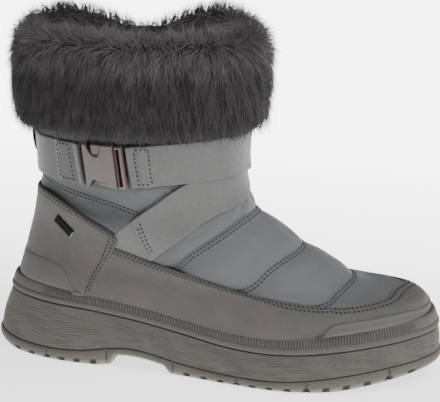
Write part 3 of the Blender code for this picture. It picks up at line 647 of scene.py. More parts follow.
def ring_body(loops):
    """Closed ring: loops (sections, around, 3) in order round its section."""
    loops = np.asarray(loops)
    faces = [grid_faces(loops.shape[0], loops.shape[1], True, True)]
    return loops.reshape(-1, 3), outward(loops, faces)


def strip_body(grid):
    """Closed strip: a closed section carried along, grid (along, section, 3), ends capped."""
    along, around = grid.shape[:2]
    caps = np.stack([np.arange(around)[::-1], np.arange(around) + (along - 1) * around])
    faces = [grid_faces(along, around, False, True), caps]
    return grid.reshape(-1, 3), outward(grid, faces)


def ladder(start, count):
    """Rungs that close a loop of count points by joining its two sides."""
    half = count // 2
    k = np.arange(1, half - 1)
    rungs = np.stack([k, k + 1, count - k - 1, count - k], -1) + start
    tips = np.array([(0, 1, count - 1), (half - 1, half, half + 1)]) + start
    return [rungs, tips]


def slab_body(loops):
    """Closed body of stacked loops (rows, around, 3), closed by rungs at each end."""
    loops = np.asarray(loops)
    rows, count = loops.shape[:2]
    faces = [grid_faces(rows, count, False, True)]
    faces += [kind[:, ::-1] for kind in ladder(0, count)]
    faces += ladder((rows - 1) * count, count)
    return loops.reshape(-1, 3), outward(loops, faces)


def floor_spans(loop, half, spokes):
    """Points straight over from one side of a loop to the other, and their shares."""
    share = np.linspace(0.0, 1.0, spokes + 1)[:, None]
    left = loop[1:half]
    right = loop[:half:-1]
    return left[None] + (right - left)[None] * share[..., None], share


def floored_body(loops, floor, half):
    """Closed body of stacked loops: rungs close the first, a floor of points the last.

    The floor's first and last rows are the loop's own two sides, and its tips close
    as triangles.
    """
    rows, count = loops.shape[:2]
    spokes = len(floor) - 1
    start = (rows - 1) * count
    index = np.empty((spokes + 1, half - 1), int)
    index[0] = start + np.arange(1, half)
    index[-1] = start + np.arange(count - 1, half, -1)
    index[1:-1] = rows * count + np.arange((spokes - 1) * (half - 1)).reshape(spokes - 1, half - 1)
    points = np.concatenate([loops.reshape(-1, 3), floor[1:-1].reshape(-1, 3)])
    quads = np.stack([index[:-1, :-1], index[:-1, 1:], index[1:, 1:], index[1:, :-1]], -1)
    first = np.stack([np.full(spokes, start), index[:-1, 0], index[1:, 0]], -1)
    last = np.stack([index[:-1, -1], np.full(spokes, start + half), index[1:, -1]], -1)
    faces = [grid_faces(rows, count, False, True), quads.reshape(-1, 4), first, last]
    faces += [kind[:, ::-1] for kind in ladder(0, count)]
    return points, outward(points, faces)


def back_columns(width):
    """The three columns of a strip's face that its back repeats."""
    return np.array([width - 1, width // 2, 0])


def with_back(face, constant=None):
    """Values on a strip's face and then its back: the face's own there, or a constant."""
    if constant is None:
        back = face[:, back_columns(face.shape[1])]
    else:
        back = np.full((len(face), 3), constant)
    return np.concatenate([face, back], axis=1)


def rounded(distance, radius):
    """Quarter-round rise from 0 at an edge to 1 at radius in from it."""
    share = np.clip(distance / radius, 0.0, 1.0)
    return np.sqrt(np.maximum(1.0 - (1.0 - share) ** 2, 0.0))


def dent(distance, wide):
    """Smooth dent: 1 at distance 0, falling as a bell of the given half width."""
    return np.exp(-((distance / wide) ** 2))


def lozenge(long, wide, high, around=5, along=2):
    """Small closed body, pointed-oval in length and round in section.

    Rings of a squashed ellipsoid from near one pole to near the other; the two end
    rings are closed flat.
    """
    polar = np.linspace(0.35, math.pi - 0.35, along + 1)[:, None]
    angle = np.arange(around) / around * 2 * math.pi
    x = -0.5 * long * np.cos(polar) / math.cos(0.35) * np.ones(around)
    y = 0.5 * wide * np.sin(polar) * np.cos(angle)
    z = 0.5 * high * np.sin(polar) * np.sin(angle)
    points = np.stack([x, y, z], -1)
    caps = np.stack([np.arange(around)[::-1], np.arange(around) + along * around])
    faces = [grid_faces(along + 1, around, False, True), caps]
    return points.reshape(-1, 3), outward(points, faces)


def copies(template, faces, places, axes, stretch=None):
    """One mesh of many copies of a small body, each at a place with its own three axes."""
    shapes = np.broadcast_to(template, (len(places), *template.shape))
    if stretch is not None:
        shapes = shapes * stretch[:, None, :]
    points = np.einsum("nvk,nkc->nvc", shapes, axes) + places[:, None, :]
    shift = np.arange(len(places))[:, None, None] * len(template)
    shifted = [(kind[None] + shift).reshape(-1, kind.shape[1]) for kind in faces]
    return points.reshape(-1, 3), shifted


def resample(points, normals, pitch, start=0.5):
    """Evenly spaced places along a line, with axes along, across and out of the surface."""
    run = path_length(points)
    count = max(int(round(run[-1] / pitch)), 2)
    at = (np.arange(count) + start) * run[-1] / count

    def between(values, where):
        return np.stack([np.interp(where, run, values[:, k]) for k in range(3)], -1)

    place = between(points, at)
    out = unit(between(normals, at))
    along = unit(between(points, at + 0.3 * pitch) - between(points, at - 0.3 * pitch))
    across_line = unit(np.cross(out, along))
    return place, np.stack([along, across_line, np.cross(along, across_line)], 1)


# --- finishes -----------------------------------------------------------------
class Finish:
    """A Principled material and short ways to add nodes to it."""

    def __init__(self, name, colour, roughness):
        self.material = bpy.data.materials.new(name)
        self.material.use_nodes = True
        self.tree = self.material.node_tree
        self.shader = self.tree.nodes["Principled BSDF"]
        self.shader.inputs["Base Color"].default_value = (*colour, 1.0)
        self.shader.inputs["Roughness"].default_value = roughness

    def add(self, kind, **settings):
        """New node; settings name its sockets or its properties."""
        node = self.tree.nodes.new(kind)
        for key, value in settings.items():
            if key in node.inputs:
                node.inputs[key].default_value = value
            else:
                setattr(node, key, value)
        return node

    def join(self, source, target):
        """Link two sockets."""
        self.tree.links.new(source, target)

    def place(self):
        """Coordinates of the object itself, in metres."""
        return self.add("ShaderNodeTexCoord").outputs["Object"]

    def cloth(self):
        """Coordinates along and across a strap, in metres."""
        return self.add("ShaderNodeTexCoord").outputs["UV"]

    def stretch(self, where, scale):
        """Coordinates scaled along their axes."""
        node = self.add("ShaderNodeMapping", Scale=scale)
        self.join(where, node.inputs["Vector"])
        return node.outputs["Vector"]

    def noise(self, where, scale, detail=3.0, rough=0.55):
        """Cloudy values about 0.5, with a number of cells to the metre."""
        node = self.add("ShaderNodeTexNoise", Scale=scale, Detail=detail, Roughness=rough)
        self.join(where, node.inputs["Vector"])
        return node.outputs["Fac"]

    def bands(self, where, repeats, direction):
        """Sine bands with a number of repeats to the metre."""
        node = self.add("ShaderNodeTexWave", wave_type="BANDS", bands_direction=direction,
                        wave_profile="SIN", Scale=repeats * math.pi / 10.0)
        self.join(where, node.inputs["Vector"])
        return node.outputs["Fac"]

    def maths(self, operation, first, second):
        """Math node of two sockets or numbers."""
        node = self.add("ShaderNodeMath", operation=operation)
        for socket, value in zip(node.inputs, (first, second)):
            if isinstance(value, (int, float)):
                socket.default_value = value
            else:
                self.join(value, socket)
        return node.outputs["Value"]

    def spread(self, value, low, high, first=0.0, last=1.0):
        """Linear map of low..high to first..last, clamped."""
        node = self.add("ShaderNodeMapRange")
        self.join(value, node.inputs["Value"])
        for key, number in (("From Min", low), ("From Max", high), ("To Min", first),
                            ("To Max", last)):
            node.inputs[key].default_value = number
        return node.outputs["Result"]

    def mix(self, factor, first, second):
        """Colour between two colours (triples or sockets) by a factor."""
        node = self.add("ShaderNodeMix", data_type="RGBA")
        self.join(factor, node.inputs[0])
        for socket, value in ((node.inputs[6], first), (node.inputs[7], second)):
            if isinstance(value, tuple):
                socket.default_value = (*value, 1.0)
            else:
                self.join(value, socket)
        return node.outputs[2]

    def value(self, key):
        """A number stored on the mesh's points."""
        return self.add("ShaderNodeAttribute", attribute_name=key).outputs["Fac"]

    def colour(self, socket):
        """Send a colour to the shader."""
        self.join(socket, self.shader.inputs["Base Color"])

    def roughness(self, socket):
        """Send a roughness to the shader."""
        self.join(socket, self.shader.inputs["Roughness"])

    def seamed_and_shaded(self, body, shade):
        """Send a colour to the shader, darkened where the mesh's seam value says; besides dark seam
        lines, that value holds painted shade, as in creases, grooves and hollows.
        """
        self.colour(self.mix(self.value("seam"), body, shade))

    def specular(self, level):
        """How much the surface shines, 0.5 being usual."""
        self.shader.inputs["Specular IOR Level"].default_value = level

    def sheen(self, weight, rough):
        """Soft light at grazing angles, as on cloth."""
        self.shader.inputs["Sheen Weight"].default_value = weight
        self.shader.inputs["Sheen Roughness"].default_value = rough

    def bump(self, *layers):
        """Bump from layers of (height socket, depth in metres), one over another."""
        last = None
        for height, depth in layers:
            node = self.add("ShaderNodeBump", Strength=1.0, Distance=depth)
            self.join(height, node.inputs["Height"])
            if last is not None:
                self.join(last.outputs["Normal"], node.inputs["Normal"])
            last = node
        self.join(last.outputs["Normal"], self.shader.inputs["Normal"])


def tinted(colour, factor):
    """A colour made lighter or darker."""
    return tuple(min(channel * factor, 1.0) for channel in colour)


def nylon_finish(name, colour):
    """Fine plain weave with a soft sheen, puckered, and darker by its seam value: along the seams,
    with painted shade in their creases, over the rear quarters and beside the straps.
    """
    made = Finish(name, colour, 0.66)
    where = made.place()
    cloud = made.spread(made.noise(where, 28.0, 4.0), 0.3, 0.7)
    body = made.mix(cloud, tinted(colour, 0.94), tinted(colour, 1.06))
    weave = made.noise(where, 2400.0, 2.0)
    body = made.mix(made.spread(weave, 0.35, 0.65, 0.0, 0.35), body, tinted(colour, 0.8))
    # seam value: dark seams and the painted shade from padding()
    made.seamed_and_shaded(body, tinted(colour, 0.2))
    made.roughness(made.spread(weave, 0.3, 0.7, 0.6, 0.74))
    made.bump((made.noise(where, 240.0, 3.0, 0.6), 0.0003), (weave, 0.00007))
    made.sheen(0.06, 0.5)
    made.specular(0.3)
    return made.material


def nubuck_finish(name, colour):
    """Brushed leather: soft warm and cool clouds, rubbed patches, fine nap and pores."""
    made = Finish(name, colour, 0.88)
    where = made.place()
    cloud = made.spread(made.noise(where, 34.0, 5.0, 0.58), 0.34, 0.66)
    warm = (colour[0] * 1.14, colour[1] * 1.05, colour[2] * 1.02)
    cool = (colour[0] * 0.88, colour[1] * 0.94, colour[2] * 0.95)
    body = made.mix(cloud, cool, warm)
    rub = made.noise(made.stretch(where, (1.0, 1.0, 2.0)), 140.0, 4.0, 0.65)
    body = made.mix(made.spread(rub, 0.4, 0.8, 0.0, 0.55), body, tinted(colour, 1.25))
    grain = made.noise(where, 1500.0, 3.0, 0.6)
    body = made.mix(made.spread(grain, 0.28, 0.46, 0.4, 0.0), body, tinted(colour, 0.6))
    # seam value: darker edges, and painted shade in the sunk stitch rows
    made.seamed_and_shaded(body, tinted(colour, 0.45))
    made.bump((made.noise(where, 400.0, 4.0, 0.6), 0.00024), (grain, 0.00013))
    made.sheen(0.18, 0.5)
    made.specular(0.25)
    return made.material


def rubber_finish(name, colour, pale_tone):
    """Matt moulded rubber: faint clouds, a fine dusty speckle, paler where a value on the mesh says
    (toward the foot of the outsole's wall), and darker by its seam value, which holds painted shade
    in the grooves.
    """
    made = Finish(name, colour, 0.72)
    where = made.place()
    cloud = made.spread(made.noise(where, 60.0, 4.0, 0.6), 0.35, 0.7)
    body = made.mix(cloud, tinted(colour, 0.93), tinted(colour, 1.07))
    fine = made.noise(where, 1400.0, 2.0)
    body = made.mix(made.spread(fine, 0.5, 0.8, 0.0, 0.35), body, pale_tone)
    body = made.mix(made.value("worn"), body, pale_tone)
    made.seamed_and_shaded(body, tinted(colour, 0.35))
    made.roughness(made.spread(cloud, 0.0, 1.0, 0.62, 0.8))
    made.bump((made.noise(where, 350.0, 3.0), 0.00012), (fine, 0.00008))
    made.specular(0.3)
    return made.material


def webbing_finish(name, colour):
    """Woven tape: fine cords along it crossed by weft lines, with paler yarn tops."""
    made = Finish(name, colour, 0.62)
    where = made.cloth()
    weft = made.noise(made.stretch(where, (3.2, 0.6, 1.0)), 420.0, 2.0)
    warp = made.bands(where, 1150.0, "Y")
    tops = made.spread(weft, 0.3, 0.7)
    weave = made.maths("MULTIPLY", tops, made.spread(warp, 0.0, 1.0, 0.5, 1.0))
    place = made.place()
    cloud = made.spread(made.noise(place, 90.0, 4.0), 0.3, 0.7)
    body = made.mix(cloud, tinted(colour, 0.93), tinted(colour, 1.05))
    body = made.mix(made.spread(weave, 0.1, 0.8, 0.5, 0.0), body, tinted(colour, 0.62))
    # seam value: darker edges, and painted shade by the rolls, at the ends, toward the belt's rear
    # and in the sunk rows
    made.seamed_and_shaded(body, tinted(colour, 0.1))
    made.bump((made.noise(place, 420.0, 3.0), 0.00012), (weave, 0.00018))
    made.sheen(0.15, 0.35)
    return made.material


def plastic_finish(name, colour, edge):
    """Satin moulded plastic, rosier along its thin edges, and darker by its seam value, the painted
    shade of its hollows and slot.
    """
    made = Finish(name, colour, 0.38)
    where = made.place()
    body = made.mix(made.value("edge"), colour, edge)
    made.seamed_and_shaded(body, tinted(colour, 0.10))
    fine = made.noise(where, 900.0, 2.0)
    made.roughness(made.spread(fine, 0.3, 0.7, 0.34, 0.48))
    made.bump((fine, 0.00003))
    return made.material


def fur_finish(name, root, tip):
    """Pile fibres, dark at the root and lighter at the tip by a number on each point; that number
    also holds painted light on the ridge and painted shade at the hem.
    """
    made = Finish(name, root, 0.55)
    made.colour(made.mix(made.value("shade"), root, tip))
    made.specular(0.25)
    made.sheen(0.2, 0.4)
    return made.material


def felt_finish(name, colour):
    """Short dark felt with a fuzzy, uneven surface."""
    made = Finish(name, colour, 0.95)
    fuzz = made.noise(made.place(), 700.0, 5.0, 0.7)
    made.colour(made.mix(made.spread(fuzz, 0.3, 0.7), tinted(colour, 0.6), tinted(colour, 1.5)))
    made.bump((fuzz, 0.0006))
    made.sheen(0.3, 0.5)
    return made.material


def thread_finish(name, colour):
    """Twisted sewing thread."""
    made = Finish(name, colour, 0.6)
    twist = made.noise(made.place(), 3000.0, 2.0)
    made.colour(made.mix(made.spread(twist, 0.3, 0.7), tinted(colour, 0.8), tinted(colour, 1.25)))
    made.bump((twist, 0.00005))
    return made.material


def tape_finish(name, colour):
    """Dark woven tape with fine cross lines."""
    made = Finish(name, colour, 0.9)
    made.specular(0.15)
    weave = made.noise(made.stretch(made.place(), (1.0, 1.0, 2.5)), 1300.0, 2.0)
    made.colour(made.mix(made.spread(weave, 0.3, 0.7), tinted(colour, 0.7), tinted(colour, 1.8)))
    made.bump((weave, 0.00015))
    return made.material


FINISHES = {  # maker, the material's name, and its colours as settings or fixed values
    "nylon": (nylon_finish, "nylon_cloth", "nylon"),
    "nubuck": (nubuck_finish, "nubuck_leather", "nubuck"),
    "rim": (rubber_finish, "rim_moulding", "rim", (0.2, 0.19, 0.17)),
    "midsole": (rubber_finish, "midsole_moulding", "midsole", (0.21, 0.2, 0.17)),
    "outsole": (rubber_finish, "outsole_moulding", "outsole", (0.34, 0.3, 0.25)),
    "webbing": (webbing_finish, "webbing_tape", "webbing"),
    "buckle": (plastic_finish, "buckle_moulding", "buckle", "buckle_edge"),
    "fur": (fur_finish, "fur_pile", "fur_root", "fur_tip"),
    "backing": (felt_finish, "fur_backing", "fur_root"),
    "lining": (felt_finish, "lining_felt", "lining"),
    "thread": (thread_finish, "seam_thread", "thread"),
    "light thread": (thread_finish, "strap_thread", "strap_thread"),
    "hole": (thread_finish, "needle_holes", "hole"),
    "black": (tape_finish, "black_tape", "black"),
    "metal": (plastic_finish, "tag_clip", (0.17, 0.165, 0.155), (0.2, 0.19, 0.18)),
}
FINISHED = {}


def finish_of(key):
    """One of the boot's finishes, made the first time it is asked for."""
    if key not in FINISHED:
        maker, name, *sources = FINISHES[key]
        settings = bpy.context.scene.boot_colours
        colours = [tuple(getattr(settings, source)) if isinstance(source, str) else source
                   for source in sources]
        FINISHED[key] = maker(name, *colours)
    return FINISHED[key]


# --- settings -----------------------------------------------------------------
def shade_of(name, description, default):
    """Colour property, as linear values."""
    return FloatVectorProperty(name=name, description=description, default=default, size=3,
                               subtype="COLOR", min=0.0, max=1.0)


def length_of(name, description, default):
    """Length property in metres."""
    return FloatProperty(name=name, description=description, default=default, unit="LENGTH",
                         precision=5)


class BootSizes(bpy.types.PropertyGroup):
    """Sizes that a user would change."""

    puff: length_of("Puff", "How far the padding swells between its seams", 0.0010)
    seam_deep: length_of("Seam depth", "How far a quilting seam is pulled in", 0.0013)
    puff_reach: length_of("Puff reach", "Distance from a seam at which the padding is full",
                          0.0065)
    stitch: length_of("Stitch", "Length from one stitch to the next", 0.0027)
    row_gap: length_of("Stitch rows", "Distance between the rows of a double seam", 0.0020)
    rib: length_of("Rib", "Distance from one rib of the rim to the next", 0.00178)
    rib_deep: length_of("Rib depth", "Depth of the grooves between ribs", 0.00075)
    pile: length_of("Pile", "Length of the fur's fibres", 0.0090)
    fibres: IntProperty(name="Fibres", description="Number of fibres in the fur", default=76000,
                        min=1000, max=80000)


class BootColours(bpy.types.PropertyGroup):
    """Colours that a user would change, as linear values."""

    nylon: shade_of("Nylon", "Quilted quarters and vamp", (0.135, 0.139, 0.147))
    nubuck: shade_of("Nubuck", "Mudguard and heel panel", (0.096, 0.092, 0.084))
    rim: shade_of("Rim", "Foxing band round the sole", (0.103, 0.099, 0.089))
    midsole: shade_of("Midsole", "Foam wedge", (0.104, 0.099, 0.087))
    outsole: shade_of("Outsole", "Rubber bottom", (0.106, 0.1, 0.087))
    webbing: shade_of("Webbing", "Both straps", (0.150, 0.150, 0.147))
    buckle: shade_of("Buckle", "Moulded plastic", (0.126, 0.112, 0.104))
    buckle_edge: shade_of("Buckle edge", "Thin edges of the plastic", (0.18, 0.126, 0.119))
    fur_root: shade_of("Fur root", "Fibres near the skin", (0.034, 0.031, 0.033))
    fur_tip: shade_of("Fur tip", "Fibres at their tips", (0.165, 0.152, 0.156))
    lining: shade_of("Lining", "Inside of the boot", (0.035, 0.032, 0.034))
    thread: shade_of("Thread", "Seams of the panels and quilting", (0.115, 0.113, 0.107))
    strap_thread: shade_of("Strap thread", "Seams of the straps", (0.2, 0.2, 0.195))
    # painted shade: near-black bodies for the shadow in each needle hole
    hole: shade_of("Needle holes", "Where a stitch goes in", (0.008, 0.008, 0.008))
    black: shade_of("Black tape", "Pull loop and tag", (0.006, 0.006, 0.006))


class StageSettings(bpy.types.PropertyGroup):
    """Floor, lights and camera."""

    floor: shade_of("Floor", "Colour of the floor", (0.93, 0.93, 0.93))
    glow: FloatProperty(name="Floor glow", description="Light given off by the floor in front",
                        default=1.6)
    far_glow: FloatProperty(name="Far glow", description="Light given off by the floor behind",
                            default=6.0)
    key: FloatProperty(name="Key", description="Power of the main light in watts", default=38.0)
    fill: FloatProperty(name="Fill", description="Power of the second light in watts", default=6.0)
    back: FloatProperty(name="Back", description="Power of the light from behind in watts",
                        default=3.0)
    sky: FloatProperty(name="Sky", description="Strength of the light from all round", default=0.12)
    turn: FloatProperty(name="Camera turn", description="Camera's angle round the boot",
                        default=math.radians(13.81), subtype="ANGLE")
    rise: FloatProperty(name="Camera rise", description="Camera's angle above the floor",
                        default=math.radians(15.68), subtype="ANGLE")
    away: FloatProperty(name="Camera distance", description="From the camera to its target",
                        default=0.9392, unit="LENGTH")


# --- sole ---------------------------------------------------------------------
def drop_to_deck(ring, above=GAP):
    """Bring a ring's points to a height above the deck, in metres."""
    ring[:, 2] = sole_height("deck", pattern_x(ring)) * MM + above


def edge_turns(half):
    """Turns of 2 x half points round the sole's edge, the two sides facing each other.

    The outer side is spaced evenly along its own length; the inner side mirrors it.
    """
    fine = np.linspace(0.0, 0.5, 1501)
    run = path_length(world(*edge_point(fine, 0.0), 0.0))
    outer = np.interp(np.linspace(0.0, run[-1], half + 1), run, fine)
    return np.concatenate([outer, 1.0 - outer[-2:0:-1]])


def pulses(value, centres, half):
    """1 near each centre, falling smoothly to 0 beyond half a width away."""
    away = np.min(np.abs(value[..., None] - np.asarray(centres)), axis=-1)
    return 1.0 - ease(half * 0.6, half * 1.25, away)


def in_arch(x):
    """1 under the arch, where the tread is lifted, and 0 elsewhere."""
    rise = ease(ARCH[0] - 1.5, ARCH[0] + 3.0, x)
    return rise * (1.0 - ease(ARCH[1] - 4.0, ARCH[1] + 1.5, x))


def make_outsole(sizes):
    """Rubber bottom: a rounded side wall round a tread with lugs.

    The wall is one profile carried round the edge, from the joint line down to the
    tread, pushed in where a groove of the tread ends in it. The tread is a height
    field over the rungs between the two sides, sunk wherever x is near a cross
    groove or y near one of the two long channels.
    """
    half = 420
    turn = edge_turns(half)
    x, _ = edge_point(turn, 0.0)
    line = sole_height("line", x) - GAP / MM
    tread = np.maximum(sole_height("tread", x), 0.0)
    arch = in_arch(x)
    breast = ease(ARCH[0] - 13.0, ARCH[0], x) * (1.0 - ease(ARCH[0], ARCH[0] + 20.0, x))
    tread = tread + 1.6 * breast
    tread = tread + (line - ARCH_THICK - tread) * arch
    flare = sole_height("flare", x)
    notch = pulses(x, GROOVE_X, 2.3) * (1.0 - arch)
    divide = pulses(x, DIVIDER_X, 0.55)
    high = np.minimum((line - tread) / 6.0, 1.0)
    loops = [world(*edge_point(turn, flare - 3.0), line)]
    shade = [np.zeros(turn.shape)]
    worn = [np.zeros(turn.shape)]
    for down, out in WALL_PROFILE:
        low = ease(0.54, 0.64, down) * (1.0 - ease(0.86, 0.95, down))
        groove = 1.1 * divide * ease(0.02, 0.12, down) + 1.9 * notch * low
        grown = flare + out * (0.4 + 0.6 * high) - groove
        loops.append(world(*edge_point(turn, grown), line + (tread - line) * down))
        # painted shade in the side wall's grooves and notches
        shade.append(0.7 * divide * ease(0.02, 0.12, down) + 0.9 * notch * low)
        # paler toward the foot of the wall, and a little over the tread
        worn.append(np.full(turn.shape, 0.6 * ease(0.5, 0.9, down)) * (1.0 - notch * low))
    floor, share = floor_spans(loops[-1], half, 48)
    fx = pattern_x(floor)
    fy = floor[..., 1] / MM
    inside = ease(0.0, 0.05, np.minimum(share, 1.0 - share))
    cross = pulses(fx + 0.004 * fy * fy, GROOVE_X, 1.75)
    channels = pulses(fy, (-CHANNEL_Y, CHANNEL_Y), 1.75) * ease(12.0, 15.0, fx)
    channels = channels * (1.0 - ease(244.0, 248.0, fx))
    cuts = np.maximum(cross, channels) * (1.0 - in_arch(fx)) * inside
    floor[..., 2] += cuts * TREAD_DEEP * MM
    points, faces = floored_body(np.array(loops), floor, half)
    # painted shade in the tread's grooves as well
    seam = np.concatenate([np.array(shade).ravel(), 0.5 * cuts[1:-1].ravel()])
    pale_values = np.concatenate([np.array(worn).ravel(), np.full(cuts[1:-1].size, 0.2)])
    return make_piece("tread", points, faces, finish_of("outsole"),
                      ["outsole"], values={"seam": seam, "worn": pale_values})


def make_midsole(sizes):
    """Foam wedge with fine broken lines.

    Its wall runs from the joint line to the deck, drawing in as the model's does, and
    is pushed in along levels that wander a little; a slow wave along the edge fades
    each line in and out.
    """
    half = 330
    levels = 56
    turn = edge_turns(half)
    x, _ = edge_point(turn, 0.0)
    line = sole_height("line", x)
    deck = sole_height("deck", x)
    flare = sole_height("flare", x)
    up = np.linspace(0.0, 1.0, levels)[:, None]
    grown = curve_of(MIDSOLE_DRAW)(up) * flare
    height = line + (deck - line) * up
    flat = world(*edge_point(turn[None], grown), height)
    count = LINE_COUNT * (0.62 + 0.38 * (deck - line) / 24.0)
    wander = 0.22 * ripple(flat * (1.0, 1.0, 3.0), 0.05, 3)
    phase = (up - 0.5) * count + wander
    fade = 0.3 + 0.7 * ease(-0.5, 0.5, ripple(flat * (1.0, 1.0, 26.0), 0.022, 5))
    away = ease(0.02, 0.07, up) * (1.0 - ease(0.93, 0.98, up))
    groove = (0.5 - 0.5 * np.cos(2 * math.pi * phase)) ** 3 * fade * away
    lip = 0.7 * dent(up, 0.014) + 0.8 * dent(1.0 - up, 0.014)
    bulge = 0.5 * np.sin(math.pi * up)
    loops = world(*edge_point(turn[None], grown + bulge - 0.4 * groove - lip), height)
    points, faces = slab_body(loops)
    # painted shade in the fine lines' grooves and at the grooved lips at top and bottom
    seam = (0.5 * groove + 0.7 * np.minimum(lip, 1.0)).ravel()
    return make_piece("midsole_wedge", points, faces, finish_of("midsole"), ["midsole"],
                      values={"seam": seam, "worn": np.zeros(seam.shape)})


def make_rim(sizes):
    """Foxing band: smooth round band, ribs over it, heel cup and toe bumper on top.

    The lower part is a profile of (height, distance out) carried round the edge; the
    ribs are a rounded wave along the edge, faded out at the heel and toe. The upper
    part lies on the shell a cup's thickness out, with terraces at the toe.
    """
    half = 980
    turn = edge_turns(half)
    x, _ = edge_point(turn, 0.0)
    deck = sole_height("deck", x)
    run = path_length(world(*edge_point(turn, 0.0), 0.0))
    ribbed = ease(28.0, 34.0, x) * (1.0 - ease(276.0, 283.0, x))
    wave = 0.5 - 0.5 * np.cos(2 * math.pi * run / sizes.rib)
    gap = (1.0 - wave) ** 1.5 * ribbed
    valley = gap * sizes.rib_deep / MM
    ends = 1.0 - ribbed
    loops = []
    seam = []
    for height, out, rib in RIM_PROFILE:
        terrace = 0.45 * ends * (0.5 - ease(4.6, 5.2, height))
        grown = out + terrace - rib * valley
        loops.append(world(*edge_point(turn, grown), deck + height))
        # painted shade in the gaps between ribs, and RIM_SHADE's by height
        seam.append(rib * 0.7 * gap + RIM_SHADE.get(height, 0.0))
    top = row_at(turn, rim_top)
    shelf = row_at(turn, lambda at: sole_height("deck", at) + SHELF)
    foot = row_at(turn, lambda at: sole_height("deck", at) + 1.0)
    rise = np.where(x < 140.0, curve_of(CUP_TOP)(x), curve_of(BUMPER_TOP)(x))
    tall = ease(1.0, 4.0, rise)
    toe = ease(215.0, 240.0, x) * tall
    for share, out in CUP_PROFILE:
        step = 0.0006 * toe * (0.5 - ease(0.4, 0.55, share)) * ease(0.0, 0.1, share)
        thick = out * (0.45 + 0.55 * tall) + step * (out > 0.001)
        loops.append(on_shell(turn, shelf + (top - shelf) * share, thick))
        # painted shade along the cup's lower and upper edges
        seam.append(np.full(x.shape, 0.3 if share in (0.0, 1.0) else 0.0))
    for share in (0.66, 0.33, 0.0):
        loops.append(on_shell(turn, foot + (top - foot) * share, 1.5 * GAP))
        seam.append(np.zeros(x.shape))
    under = loops[-1].copy()
    under[:, 2] = deck * MM + GAP
    loops.append(under)
    seam.append(np.zeros(x.shape))
    points, faces = ring_body(loops)
    seam = np.array(seam).ravel()
    return make_piece("foxing_band", points, faces, finish_of("rim"), ["sole_rim"],
                      values={"seam": seam, "worn": np.zeros(seam.shape)})


def make_footbed(sizes):
    """Felt footbed inside the shell: the deck's surface raised, dished under the heel."""
    half = 110
    turn = edge_turns(half)
    inside = -WALL - 3 * GAP
    loops = []
    for height in (GAP, INSOLE_THICK - 0.0006, INSOLE_THICK):
        row = row_at(turn, lambda at: sole_height("deck", at) + height / MM)
        shrink = 0.0006 if height == INSOLE_THICK else 0.0
        ring = on_shell(turn, row, inside - shrink)
        drop_to_deck(ring, height)
        loops.append(ring)
    felt, share = floor_spans(loops[-1], half, 26)
    fx = pattern_x(felt)
    dish = 1.2 * dent(fx - 45.0, 30.0) * np.sin(math.pi * share)
    felt[..., 2] = (sole_height("deck", fx) - dish) * MM + INSOLE_THICK
    points, faces = floored_body(np.array(loops), felt, half)
    return make_piece("footbed", points, faces, finish_of("lining"), ["insole"])


# --- upper --------------------------------------------------------------------
def skin_turns(outer, inner):
    """Turns of a closed loop round the shell, evenly spaced on each side."""
    fine = np.linspace(0.0, 0.5, 1201)
    run = path_length(upper_skin(fine, np.full(fine.shape, 4.5)))
    first = np.interp(np.arange(outer) / outer * run[-1], run, fine)
    second = np.interp(np.arange(inner) / inner * run[-1], run, fine)
    return np.concatenate([first, 1.0 - second[::-1] - second[1]])


def row_table(height, drop=0.0):
    """Row of any turn where the skin crosses height(x), read from a fine table.

    drop lowers it by that many rows on the inner side of the toe.
    """
    turns = np.arange(961) / 960
    rows = row_at(turns, height) - drop * dent(turns - 0.585, 0.06)
    return lambda turn: np.interp(np.asarray(turn) % 1.0, turns, rows)


def shell_line(places, count=60):
    """Smooth line through a few (turn, row) places: points and normals of the skin."""
    return skin_line(*seam_path(places, count))


def edge_line(table, start, end, count=140):
    """A panel's edge as a line of points and normals on the skin."""
    turn = np.linspace(start, end, count)
    return skin_line(turn, table(turn))


def moved(line, aside, out):
    """A line moved aside on the surface (to its left, seen from outside) and out of it."""
    points, normals = line
    along = unit(np.gradient(points, axis=0))
    across_line = unit(np.cross(normals, along))
    return points + across_line * aside + normals * out, normals


def quarter_places():
    """The quarter seam from the inner side round the back to the outer side."""
    inner = [(-turn, row) for turn, row in reversed(QUARTER_SEAM[1:])]
    return inner + list(QUARTER_SEAM)


